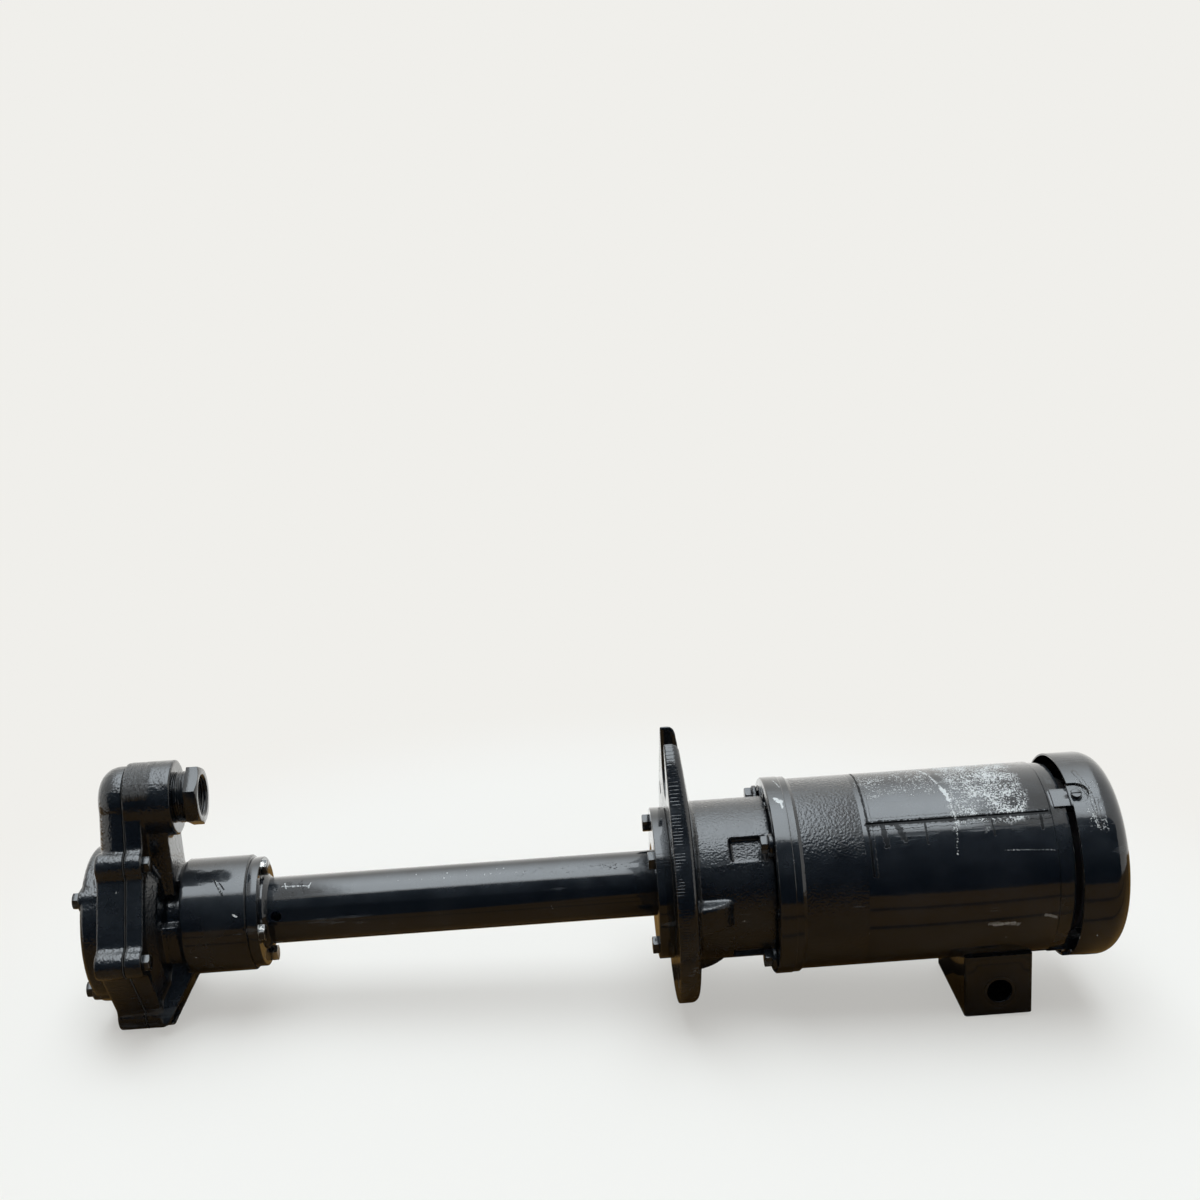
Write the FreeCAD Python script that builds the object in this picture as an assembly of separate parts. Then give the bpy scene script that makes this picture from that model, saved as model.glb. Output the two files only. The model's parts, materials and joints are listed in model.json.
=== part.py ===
import FreeCAD, Part
import math
import os

# Vertical sump pump: a pump head on a long column under a tank flange, driven through
# a jaw coupling by a C-face motor above the flange. Millimetres.
# The origin is the centre of the mounting flange's underside, +Z runs up the shaft to the motor.
# The discharge is on the -X side and the conduit box on the +X side.
# An angle of 0 points to -Y, 90 to -X, 180 to +Y and 270 to +X.

# Clearances, and how far a cutter runs past the face that it opens
running_gap = 0.03
slip_gap = 0.1
jaw_gap = 0.3
hole_gap = 0.3
past = 1.0

# Mounting flange and lantern of the motor bracket
flange_r = 104.5
flange_rim = 17.0
flange_crown = 21.5
crown_r = 72.0
flange_edge_round = 7.0
lobe_x = 94.0
lobe_r = 48.0
slot_half = 20.0
slot_end_x = 100.0
tank_hole_r = 5.5
tank_hole_inset = 15.5
lantern_r = 69.0
lantern_bore_r = 52.0
lantern_floor = 24.0
register_r = 30.0
c_face_z = 86.0
pilot_r = 57.15
pilot_depth = 4.0
c_bolt_circle = 74.6
c_bolt_depth = 13.0
lug_r = 9.5
lug_thick = 5.0
pocket_width = 21.0
pocket_length = 31.0
pocket_floor = 62.0
gusset_thick = 24.0
gusset_foot_inset = 21.5
gusset_bend_inset = 25.5
gusset_bend_z = 36.0
gusset_top_z = 50.0
gusset_round = 3.0
gusset_angles = (0, 180, 270)

# Column
tube_r = 28.575
tube_wall = 3.6
tube_socket = 4.0
upper_flange_r = 65.5
upper_flange_thick = 12.5
flange_gasket = 0.8
gasket_inset = 1.5
upper_bolt_circle = 56.0
upper_bolt_reach = 13.0
lower_flange_r = 47.0
lower_flange_thick = 9.0
lower_flange_z = -361.7
lower_spigot = 4.0
lower_bolt_circle = 41.0
lower_bolt_reach = 14.0
weld_r = 32.6
weld_height = 5.5
weld_lip = 1.5
weep_r = 4.5
weep_height = 11.7
weep_angle = 15.0
sharp_round = 0.8

# Pump head
neck_r = 49.5
neck_length = 56.8
neck_bore_r = 34.0
neck_bore_depth = 50.0
neck_edge = 1.5
waist_length = 22.5
waist_r = 31.0
leg_r = 47.0
leg_sweep = 48.0
leg_angles = (-8, 90, 188)
hub_r = 22.0
hub_height = 26.0
head_plate = 14.5
head_crown = 7.0
crown_edge_r = 70.5
crown_top_r = 56.5
half_depth = 24.0
casing_gasket_thick = 0.5
casing_flat = 74.5
scroll_back_r = 81.5
ear_r = 12.0
ear_circle = 80.5
ear_blend = 7.0
cast_round = 2.0
arm_x = 112.0
arm_r = 29.5
arm_root_x = 40.0
arm_root_half = 45.0
arm_root_wide_x = 66.0
arm_round = 18.0
boss_r = 32.0
boss_height = 25.5
bushing_bore_r = 20.0
bushing_seat = 2.0
passage_r = 14.0
web_half = 23.5
web_height = 18.0
volute_r = 62.0
volute_offset = 6.0
volute_front = 8.0
volute_back = 8.5
eye_bore_r = 50.3
rib_foot_r = 91.0
rib_foot_height = 5.0
rib_top = 4.0
rib_angles = (240, 300)
pocket_r = 9.2
cover_r = 67.0
cover_thick = 16.0
cover_gasket_thick = 0.5
cover_spigot = 7.0
cover_inlet_r = 25.0
inlet_flare_r = 32.0
inlet_lip = 2.0
inlet_depth = 7.0
cover_screw_circle = 58.5
cover_round = 3.0
pad_r = 9.5
pad_height = 1.5

# Discharge bushing
bushing_thread_out = 10.0
bushing_thread_step = 0.9
bushing_hex_flats = 46.0
bushing_hex = 11.0
bushing_thread_r = 16.6
bushing_engaged = 16.0
bushing_edge = 1.6

# Impeller
impeller_r = 50.0
impeller_back = 4.0
vane_height = 13.0
vane_thick = 3.5
vane_count = 6
vane_inner_r = 13.0
vane_turn = 62.0
vane_middle_r = 32.0
vane_middle_share = 0.42
impeller_hub_r = 15.0
impeller_hub_taper = 2.0
impeller_top_gap = 2.5
impeller_end_gap = 1.0
nut_recess = 4.0
nut_flats = 18.0
nut_height = 7.0
nut_thread_past = 2.0
washer_r = 11.0
washer_thick = 1.6

# Fasteners: across flats, head height and shank radius
small_flats, small_head, small_shank = 12.7, 5.5, 3.95
large_flats, large_head, large_shank = 14.3, 6.0, 4.76
screw_head_r, screw_head, screw_shank = 4.6, 2.8, 2.4
head_flat_share = 0.96
head_chamfer_slope = 1.9
slot_drive = 1.0
slot_drive_depth = 1.2

# Pump shaft
shaft_r = 12.0
shaft_clearance = 1.0
journal_r = 10.0
journal_past = 4.0
coupling_shaft_r = 9.5
impeller_shaft_r = 8.0
thread_r = 6.0
shaft_chamfer = 1.0
sleeve_r = 15.0
sleeve_length = 44.0
slinger_z = -30.0
slinger_hub = 3.0
slinger_rim = 8.0
slinger_height = 6.0
slinger_lip_z = 2.0
slinger_lip = 1.5

# Keys: width, how deep in the shaft and how high above it
impeller_key_width, impeller_key_in, impeller_key_out = 5.0, 2.5, 2.2
coupling_key_width, coupling_key_in, coupling_key_out = 4.8, 2.6, 2.0
motor_key_width, motor_key_in, motor_key_out = 4.76, 2.4, 2.0
motor_key_start = 9.0
motor_key_length = 18.0

# Bearings: bore, outside radius and width, and the number of balls
pump_bearing = (10.0, 21.0, 12.0)
pump_ball_count = 8
motor_bearing = (8.5, 20.0, 12.0)
motor_ball_count = 7
pump_bearing_z = -6.8
ball_share = 0.29
shoulder_share = 0.17
race_gap = 0.12
bearing_lip = 3.0
bearing_rim = 3.2
snap_ring = 1.25
snap_play = 0.05
snap_groove = 1.4
shaft_ring_groove = 1.3
housing_groove_depth = 1.2
shaft_groove_depth = 0.7
housing_ring_reach = 2.4
shaft_ring_reach = 2.6
housing_ring_split = 8.0
shaft_ring_split = 4.0

# Coupling
coupling_r = 22.25
coupling_round = 1.2
hub_length = 20.0
jaw_length = 12.0
jaw_count = 3
jaw_angle = 42.0
jaw_inner_r = 12.5
jaw_root = 0.5
coupling_z = 9.5
spider_bore_r = 9.0
set_screw_r = 2.5
set_screw_in = 0.4
set_screw_sunk = 0.8
set_screw_socket = 2.6
set_screw_socket_depth = 2.5

# Motor
ring_r = 85.2
ring_edge = 1.0
ring_length = 21.0
ring_step = 7.0
bell_fillet = 2.0
shell_r = 82.5
shell_wall = 3.0
bell_length = 54.0
shell_length = 160.0
bell_wall = 9.0
register_depth = 6.0
seam_width = 1.6
seam_depth = 1.4
seam_angle = 51.5
seam_low = 3.8
seam_high = 1.5
motor_shaft_r = 7.94
motor_shaft_reach = 52.4
shaft_hole_gap = 1.2
rotor_shaft_r = 13.0
rotor_shaft_step = 2.0
rotor_shaft_past = 12.0
motor_bearing_z = 112.0
bearing_hub_wall = 8.0
bearing_hub_taper = 2.0
core_inset = 29.0
core_outset = 31.0
stator_depth = 35.5
air_gap = 0.5
slot_count = 24
slot_start = 3.0
slot_from_bolts = 7.5
slot_width = 6.0
slot_mouth = 2.4
winding_overhang = 18.0
winding_gap = 0.8
winding_inset = 1.0
winding_flare = 2.0
winding_liner = 0.3
end_ring_height = 9.0
end_ring_depth = 13.0
end_ring_fins = 8
fin_thick = 2.4
fin_height = 8.0
fin_outer_inset = 3.0
fin_inner_inset = 12.0
tie_bolt_inset = 9.0
tie_head_sink = 5.0
thread_depth = 16.0

# Fan end
fan_bell_length = 17.0
fan_bell_inset = 1.0
fan_bell_shoulder = 8.0
fan_bearing_seat = 1.5
wave_spring = 0.7
wave_spring_width = 3.5
cover_overhang = 6.0
fan_cover_wall = 1.6
fan_cover_gap = 1.5
fan_cover_length = 44.0
fan_cover_round = 19.0
fan_screw_inset = 6.0
fan_screw_angles = (60, 180, 300)
fan_screw_length = 10.0
screw_pocket_r = 10.5
screw_pocket_sink = 3.6
fan_lug_half = 9.0
fan_lug_start = 4.0
fan_lug_gap = 5.5
fan_inset = 20.5
fan_hub_r = 14.0
fan_gap = 7.0
fan_depth = 24.0
fan_blades = 8
fan_blade_thick = 2.0
fan_blade_notch = 7.0
fan_plate_edge = 2.4
fan_bend_share = 0.6   # of the tip and hub radii together, where the fan's plate bends
fan_plate_hub = 3.0
grille_ring_count = 3
grille_first_r = 22.0
grille_ring_step = 16.5
grille_slot_count = 8
grille_count_step = 4
grille_slot_length = 9.0
grille_length_step = 2.5
grille_slot_r = 2.6

# Conduit box
box_from_shell_top = 71.5
box_length = 59.5
box_half_width = 49.0
box_height = 41.5
box_edge_round = 3.0
box_cover_thick = 2.0
box_wall = 2.6
box_gasket = 0.8
box_screw_inset = 7.0
box_post_r = 4.6
box_screw_length = 13.0
knockout_r = 11.1
knockout_ring_r = 14.2
knockout_ring_width = 0.7
knockout_ring_depth = 0.5
knockout_inset = 20.6
knockout_rise = 30.8
lead_hole_r = 14.0

up = FreeCAD.Vector(0, 0, 1)
origin = FreeCAD.Vector(0, 0, 0)
nodes = {}

# Levels along the shaft, from the flange's underside down to the suction face
column_top = -flange_gasket
column_face = column_top - upper_flange_thick
neck_top = lower_flange_z
neck_low = neck_top - neck_length
neck_floor = neck_top - neck_bore_depth
sleeve_top = neck_floor + hub_height
head_back = neck_low - waist_length
parting = head_back - head_plate
volute_top = parting - casing_gasket_thick
casing_face = volute_top - half_depth
inner_front = casing_face + volute_front
cover_top = casing_face - cover_gasket_thick
cover_face = cover_top - cover_thick
boss_face = head_back + boss_height

# Levels up the motor
ring_top = c_face_z + ring_length
bell_top = ring_top + bell_length
shell_top = bell_top + shell_length
core_low = bell_top + core_inset
core_top = shell_top - core_outset
fan_bearing_low = shell_top + fan_bearing_seat
fan_bearing_high = fan_bearing_low + motor_bearing[2]
fan_bell_top = shell_top + fan_bell_length
fan_cover_low = fan_bell_top + fan_cover_gap
fan_cover_top = fan_cover_low + fan_cover_length
fan_screw_z = fan_cover_low + fan_screw_inset
fan_low = fan_bell_top + fan_gap
box_low = shell_top - box_from_shell_top
box_high = box_low + box_length

# Radii that follow from others
tank_hole_circle = flange_r - tank_hole_inset
gusset_foot_r = flange_r - gusset_foot_inset
gusset_bend_r = flange_r - gusset_bend_inset
tube_bore_r = tube_r - tube_wall
shell_bore_r = shell_r - shell_wall
stator_bore_r = shell_bore_r - stator_depth
tie_bolt_circle = shell_bore_r - tie_bolt_inset
slot_inner_r = stator_bore_r + slot_start
slot_outer_r = tie_bolt_circle - slot_from_bolts
rotor_r = stator_bore_r - air_gap
fan_cover_r = shell_r + cover_overhang
fan_r = fan_cover_r - fan_inset
box_reach = shell_r + box_height
saddle_r = shell_r + box_gasket


def vec(x, y, z):
    return FreeCAD.Vector(x, y, z)


def at(radius, angle, z=0.0):
    turn = math.radians(angle)
    return vec(-radius * math.sin(turn), -radius * math.cos(turn), z)


def rod(radius, low, high, x=0.0, y=0.0):
    return Part.makeCylinder(radius, high - low, vec(x, y, low))


def pipe(outer, inner, low, high):
    return rod(outer, low, high).cut(rod(inner, low - past, high + past))


def block(x0, x1, y0, y1, z0, z1):
    return Part.makeBox(x1 - x0, y1 - y0, z1 - z0, vec(x0, y0, z0))


def turned(profile):
    points = [vec(radius, 0, z) for radius, z in profile]
    face = Part.Face(Part.makePolygon(points + points[:1]))
    return face.revolve(origin, up, 360)


def turned_to(shape, angle):
    copy = shape.copy()
    copy.rotate(origin, up, -angle)
    return copy


def around(shape, count, start=0.0):
    return [turned_to(shape, start + 360.0 * i / count) for i in range(count)]


def holes_on(circle, radius, low, high, count=4, start=0.0):
    return around(rod(radius, low, high, 0, -circle), count, start)


def joined(shapes):
    body = shapes[0]
    if len(shapes) > 1:
        body = body.multiFuse(shapes[1:])
    return body.removeSplitter()


def without(body, cutters):
    for cutter in cutters:
        body = body.cut(cutter)
    return body


# A plate in the radial plane at angle 0, from steps of (radius, z) points: two for a line, three for an arc
def radial_plate(steps, thick):
    edges = []
    for step in steps:
        ends = [vec(0, -radius, z) for radius, z in step]
        if len(ends) == 2:
            edges.append(Part.LineSegment(*ends).toShape())
        else:
            edges.append(Part.Arc(*ends).toShape())
    plate = Part.Face(Part.Wire(edges)).extrude(vec(thick, 0, 0))
    plate.translate(vec(-thick / 2, 0, 0))
    return plate


# A ring's section turned through sweep degrees, half of it on each side of angle 0
def sector(inner, outer, sweep, low, high):
    start = -sweep / 2
    corners = [at(inner, start, low), at(outer, start, low), at(outer, start, high), at(inner, start, high)]
    face = Part.Face(Part.makePolygon(corners + corners[:1]))
    return face.revolve(origin, up, -sweep)


def hexagon(flats, low, high, x=0.0, y=0.0):
    radius = flats / 2 / math.cos(math.radians(30))
    corners = []
    for i in range(6):
        angle = math.radians(60 * i)
        corners.append(vec(x + radius * math.cos(angle), y + radius * math.sin(angle), low))
    face = Part.Face(Part.makePolygon(corners + corners[:1]))
    return face.extrude(vec(0, 0, high - low))


# A hexagon bolt along Z: its seat is under the head and its tip at the far end of the shank
def bolt(place, seat, tip, flats, height, shank):
    top = seat - height if tip > seat else seat + height
    low, high = min(seat, top), max(seat, top)
    small_r = flats / 2 * head_flat_share
    large_r = small_r + height * head_chamfer_slope
    radii = (small_r, large_r) if tip > seat else (large_r, small_r)
    cone = Part.makeCone(radii[0], radii[1], height, place + vec(0, 0, low))
    head = hexagon(flats, low, high, place.x, place.y).common(cone)
    stem = rod(shank, min(seat, tip), max(seat, tip), place.x, place.y)
    return head.fuse(stem).removeSplitter()


def bolts_on(circle, seat, tip, sizes, count=4, start=0.0):
    flats, height, shank = sizes
    angles = [start + 360.0 * i / count for i in range(count)]
    return [bolt(at(circle, angle), seat, tip, flats, height, shank) for angle in angles]


def rounded(shape, radius, picks):
    return shape.makeFillet(radius, [edge for edge in shape.Edges if picks(edge)])


def flat_edge_at(z, least=0.0):
    def picks(edge):
        box = edge.BoundBox
        return abs(box.ZMin - z) < 0.01 and abs(box.ZMax - z) < 0.01 and edge.Length > least
    return picks


def curved(edge):
    return not isinstance(edge.Curve, (Part.Line, Part.LineSegment))


def edge_radius(edge):
    middle = edge.valueAt((edge.FirstParameter + edge.LastParameter) / 2)
    return math.hypot(middle.x, middle.y)


def save(name, shapes):
    solids = []
    for shape in shapes if isinstance(shapes, list) else [shapes]:
        solids.extend(shape.Solids)
    nodes[name] = solids
    out = solids[0] if len(solids) == 1 else Part.makeCompound(solids)
    out.exportStep("parts/" + name + ".step")


# Outline of the mounting flange: the disc and its lobe towards -X, joined by their outer tangents
def flange_outline():
    lean = math.asin((flange_r - lobe_r) / lobe_x)
    across = vec(-math.sin(lean), math.cos(lean), 0)
    below = vec(across.x, -across.y, 0)
    centre = vec(-lobe_x, 0, 0)
    tip = vec(-lobe_x - lobe_r, 0, 0)
    edges = [
        Part.Arc(across * flange_r, vec(flange_r, 0, 0), below * flange_r),
        Part.LineSegment(below * flange_r, centre + below * lobe_r),
        Part.Arc(centre + below * lobe_r, tip, centre + across * lobe_r),
        Part.LineSegment(centre + across * lobe_r, across * flange_r),
    ]
    return Part.Face(Part.Wire([edge.toShape() for edge in edges]))


def rim_top_edge(edge):
    return edge.BoundBox.ZMin > past and edge_radius(edge) > gusset_foot_r


def motor_bracket():
    # The flange is crowned, and slopes down from the lantern's foot to the tips beside the slot
    far_r = lobe_x + lobe_r + lug_r
    slope = (flange_crown - flange_rim) / (flange_r - crown_r)
    crown = turned([(0, 0), (far_r, 0), (far_r, flange_crown - slope * (far_r - crown_r)),
                    (crown_r, flange_crown), (0, flange_crown)])
    plate = flange_outline().extrude(vec(0, 0, flange_crown)).common(crown)
    plate = rounded(plate, flange_edge_round, rim_top_edge)
    slot = rod(slot_half, -past, flange_crown + past, -slot_end_x)
    slot = slot.fuse(block(-far_r, -slot_end_x, -slot_half, slot_half, -past, flange_crown + past))
    plate = plate.cut(slot)

    lantern = rod(lantern_r, lantern_floor - lug_thick, c_face_z)
    lantern = lantern.fuse(rod(lantern_r, flange_rim - past, lantern_floor))
    foot = flange_rim - past
    wall = (lantern_r + lantern_bore_r) / 2
    skin = lantern_r - past / 2
    gusset = radial_plate([
        [(wall, foot), (gusset_foot_r, foot)],
        [(gusset_foot_r, foot), (gusset_foot_r, flange_crown)],
        [(gusset_foot_r, flange_crown), (gusset_bend_r, gusset_bend_z), (skin, gusset_top_z)],
        [(skin, gusset_top_z), (wall, gusset_top_z)],
        [(wall, gusset_top_z), (wall, foot)],
    ], gusset_thick)
    gusset = rounded(gusset, gusset_round, lambda edge: curved(edge))
    body = joined([plate, lantern] + [turned_to(gusset, angle) for angle in gusset_angles])

    # Bolt pockets in the lantern, and their lugs on the motor's face
    lug_low = c_face_z - lug_thick
    pocket = block(-pocket_width / 2, pocket_width / 2, -lantern_r - past, -pocket_floor,
                   lug_low - pocket_length, lug_low)
    body = without(body, around(pocket, 4, 45))
    lug = rod(lug_r, lug_low, c_face_z, 0, -c_bolt_circle)
    lug = lug.fuse(block(-lug_r, lug_r, -c_bolt_circle, -pocket_floor, lug_low, c_face_z))
    body = joined([body] + around(lug, 4, 45))

    cutters = [rod(lantern_bore_r, lantern_floor, c_face_z + past),
               rod(pilot_r + slip_gap, c_face_z - pilot_depth - slip_gap, c_face_z + past),
               rod(register_r, -past, lantern_floor + past)]
    cutters += holes_on(c_bolt_circle, large_shank + hole_gap, lug_low - past, c_face_z + past, 4, 45)
    cutters += holes_on(upper_bolt_circle, large_shank + slip_gap, -past, upper_bolt_reach + past, 4, 45)
    cutters += holes_on(tank_hole_circle, tank_hole_r, -past, flange_crown + past, 4, 45)
    save("motor_bracket", without(body, cutters))
    save("c_face_bolts", bolts_on(c_bolt_circle, lug_low, c_face_z + c_bolt_depth,
                                  (large_flats, large_head, large_shank), 4, 45))


def column_tube():
    tube = pipe(tube_r, tube_bore_r, lower_flange_z, column_face + tube_socket)
    weep_z = lower_flange_z + lower_flange_thick + weld_height + weep_height - weep_r
    weep = Part.makeCylinder(weep_r, 2 * tube_r, at(tube_r + past, weep_angle, weep_z), at(-1, weep_angle))
    save("column_tube", tube.cut(weep))


def upper_column_flange():
    bearing_r = pump_bearing[1]
    bearing_top = pump_bearing_z + pump_bearing[2]
    spigot_top = bearing_top + bearing_rim
    plate = rounded(rod(upper_flange_r, column_face, column_top), sharp_round, flat_edge_at(column_face))
    plate = plate.fuse(rod(register_r - slip_gap, column_top, spigot_top))
    cutters = [rod(tube_r + running_gap, column_face - past, column_face + tube_socket),
               rod(bearing_r - bearing_lip, column_face, spigot_top + past),
               rod(bearing_r + running_gap, pump_bearing_z, spigot_top + past),
               rod(bearing_r + housing_groove_depth, bearing_top, bearing_top + snap_groove)]
    cutters += holes_on(upper_bolt_circle, large_shank + hole_gap, column_face - past, past, 4, 45)
    save("upper_column_flange", without(plate, cutters).removeSplitter())

    gasket = pipe(upper_flange_r - gasket_inset, register_r + past, column_top, 0)
    save("upper_flange_gasket", without(gasket, holes_on(upper_bolt_circle, large_shank + hole_gap,
                                                         column_top - past, past, 4, 45)))
    save("upper_flange_bolts", bolts_on(upper_bolt_circle, column_face, upper_bolt_reach,
                                        (large_flats, large_head, large_shank), 4, 45))


def lower_column_flange():
    flange_top = lower_flange_z + lower_flange_thick
    weld_top = flange_top + weld_height
    plate = rounded(rod(lower_flange_r, lower_flange_z, flange_top), sharp_round, flat_edge_at(flange_top))
    plate = plate.fuse(rod(neck_bore_r - slip_gap, lower_flange_z - lower_spigot, lower_flange_z))
    bead = turned([(tube_r, flange_top - past), (weld_r, flange_top - past), (weld_r, flange_top + weld_lip),
                   (tube_r + running_gap, weld_top), (tube_r, weld_top)])
    cutters = [rod(tube_r + running_gap, lower_flange_z, weld_top + past),
               rod(tube_bore_r, lower_flange_z - lower_spigot - past, flange_top)]
    cutters += holes_on(lower_bolt_circle, small_shank + hole_gap, lower_flange_z - lower_spigot - past,
                        weld_top + past)
    save("lower_column_flange", without(plate.fuse(bead), cutters).removeSplitter())
    save("lower_flange_bolts", bolts_on(lower_bolt_circle, flange_top, lower_flange_z - lower_bolt_reach,
                                        (small_flats, small_head, small_shank)))


# The discharge arm seen along the shaft: round at its end and wider towards the ears beside it
def arm_outline():
    points = [vec(-arm_x, -arm_r, 0), vec(-arm_x, arm_r, 0), vec(-arm_root_wide_x, arm_root_half, 0),
              vec(-arm_root_x, arm_root_half, 0), vec(-arm_root_x, -arm_root_half, 0),
              vec(-arm_root_wide_x, -arm_root_half, 0)]
    wedge = Part.Face(Part.makePolygon(points + points[:1])).extrude(up)
    return joined([wedge, rod(arm_r, 0, 1, -arm_x)])


# Rounded hexagon with six bolting ears, the scroll's round back and, if asked, the discharge arm
def casing_outline(with_arm):
    corner = casing_flat / math.cos(math.radians(30))
    points = [at(corner, 60 * i) for i in range(6)]
    body = Part.Face(Part.makePolygon(points + points[:1])).extrude(up)
    back = rod(scroll_back_r, 0, 1).common(block(-scroll_back_r - past, ear_r, 0, scroll_back_r + past, 0, 1))
    shapes = [body, back] + around(rod(ear_r, 0, 1, 0, -ear_circle), 6)
    if with_arm:
        shapes.append(arm_outline())
    face = [one for one in joined(shapes).Faces if abs(one.CenterOfMass.z) < 0.001][0]
    face = Part.Face(face.OuterWire)
    face = face.makeOffset2D(ear_blend, 0, False, False, False)
    return face.makeOffset2D(-ear_blend, 0, False, False, False)


def casing_slab(low, high, with_arm=True):
    slab = casing_outline(with_arm).extrude(vec(0, 0, high - low))
    slab.translate(vec(0, 0, low))
    return slab


def volute_space(low, high):
    space = rod(volute_r, low, high, -volute_offset)
    duct = Part.makeCylinder(passage_r, arm_x, vec(-arm_x, 0, parting), vec(1, 0, 0))
    elbow = Part.makeSphere(passage_r, vec(-arm_x, 0, parting))
    rise = rod(passage_r, parting, boss_face + past, -arm_x)
    return [space, duct, elbow, rise]


def volute_casing():
    body = casing_slab(casing_face, volute_top, False)
    body = rounded(body, cast_round, flat_edge_at(casing_face, cast_round))
    # The arm ends in a rounded elbow under the discharge
    arm = [face for face in arm_outline().Faces if abs(face.CenterOfMass.z) < 0.001][0]
    arm = Part.Face(arm.OuterWire).extrude(vec(0, 0, volute_top - casing_face))
    arm.translate(vec(0, 0, casing_face))
    arm = rounded(arm, arm_round, lambda edge: flat_edge_at(casing_face)(edge) and edge.BoundBox.XMin
                  < -arm_root_wide_x - past)
    body = joined([body, arm])
    cutters = [rod(eye_bore_r, casing_face - past, inner_front + past)]
    cutters += volute_space(inner_front, parting + past)
    cutters += holes_on(ear_circle, small_shank + slip_gap, inner_front, parting + past, 6)
    cutters += holes_on(cover_screw_circle, small_shank + slip_gap, casing_face - past,
                        inner_front - past / 2, 4, 45)
    save("volute_casing", without(body, cutters).removeSplitter())


def casing_gasket():
    low, high = volute_top - past, parting + past
    cutters = [rod(volute_r + past, low, high, -volute_offset),
               rod(passage_r + past, low, high, -arm_x),
               block(-arm_x, -arm_root_x, -passage_r - past, passage_r + past, low, high)]
    cutters += holes_on(ear_circle, small_shank + hole_gap, low, high, 6)
    save("casing_gasket", without(casing_slab(volute_top, parting), cutters))


def suction_cover():
    spigot_r = eye_bore_r - slip_gap
    cover = turned([(cover_inlet_r, cover_top + cover_spigot), (spigot_r, cover_top + cover_spigot),
                    (spigot_r, cover_top), (cover_r, cover_top), (cover_r, cover_face + cover_round),
                    (cover_r - cover_round, cover_face), (inlet_flare_r, cover_face),
                    (cover_inlet_r + inlet_lip, cover_face + inlet_lip),
                    (cover_inlet_r, cover_face + inlet_depth)])
    pad_face = cover_face - pad_height
    cover = joined([cover] + holes_on(cover_screw_circle, pad_r, pad_face, cover_top, 4, 45))
    save("suction_cover", without(cover, holes_on(cover_screw_circle, small_shank + hole_gap, pad_face - past,
                                                  cover_top + past, 4, 45)))
    ring = pipe(cover_r - slip_gap, eye_bore_r + slip_gap, cover_top, casing_face)
    save("suction_cover_gasket", without(ring, holes_on(cover_screw_circle, small_shank + hole_gap,
                                                        cover_top - past, casing_face + past, 4, 45)))
    save("suction_cover_screws", bolts_on(cover_screw_circle, pad_face, inner_front - past,
                                          (small_flats, small_head, small_shank), 4, 45))


def casing_head():
    slab = casing_slab(parting, head_back)
    slab = rounded(slab, cast_round, flat_edge_at(head_back, cast_round))
    crown = turned([(0, parting + past), (crown_edge_r, parting + past), (crown_edge_r, head_back),
                    (crown_top_r, head_back + head_crown), (waist_r, head_back + head_crown + past),
                    (waist_r, neck_low + past), (0, neck_low + past)])
    neck = turned([(0, neck_low), (neck_r - neck_edge, neck_low), (neck_r, neck_low + neck_edge),
                   (neck_r, neck_top - past), (neck_r - past, neck_top), (0, neck_top)])
    # Three broad legs carry the neck, and two ribs run out to the ears opposite the discharge
    inner = waist_r - past
    foot = head_back - past
    leg = sector(inner, leg_r, leg_sweep, foot, neck_low + past)
    rib_end = neck_low + rib_top
    rib = radial_plate([
        [(inner, foot), (rib_foot_r, foot)],
        [(rib_foot_r, foot), (rib_foot_r, head_back + rib_foot_height)],
        [(rib_foot_r, head_back + rib_foot_height), (neck_r, rib_end)],
        [(neck_r, rib_end), (inner, rib_end)],
        [(inner, rib_end), (inner, foot)],
    ], 2 * ear_r)
    boss = rounded(rod(boss_r, parting, boss_face, -arm_x), sharp_round, flat_edge_at(boss_face))
    web = block(-arm_x, -waist_r, -web_half, web_half, parting + past, head_back + web_height)
    body = joined([slab, crown, neck, boss, web] + [turned_to(leg, angle) for angle in leg_angles]
                  + [turned_to(rib, angle) for angle in rib_angles])

    body = body.cut(rod(neck_bore_r, neck_floor, neck_top + past))
    body = joined([body, rod(hub_r, neck_floor - past, sleeve_top)])
    cutters = [rod(sleeve_r + running_gap, sleeve_top - sleeve_length, neck_top),
               rod(journal_r + shaft_clearance, parting - past, neck_top),
               rod(bushing_bore_r, boss_face - bushing_engaged - bushing_seat, boss_face + past, -arm_x)]
    cutters += volute_space(parting - past, parting + volute_back)
    cutters += holes_on(ear_circle, small_shank + hole_gap, parting - past, head_back + past, 6)
    cutters += holes_on(ear_circle, pocket_r, head_back, neck_low, 6)
    cutters += holes_on(lower_bolt_circle, small_shank + slip_gap, neck_top - lower_bolt_reach - past,
                        neck_top + past)
    save("casing_head", without(body, cutters).removeSplitter())
    save("casing_bolts", bolts_on(ear_circle, head_back, inner_front + past,
                                  (small_flats, small_head, small_shank), 6))
    sleeve = pipe(sleeve_r, journal_r + running_gap, sleeve_top - sleeve_length, sleeve_top)
    save("lower_sleeve_bearing", sleeve)


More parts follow.
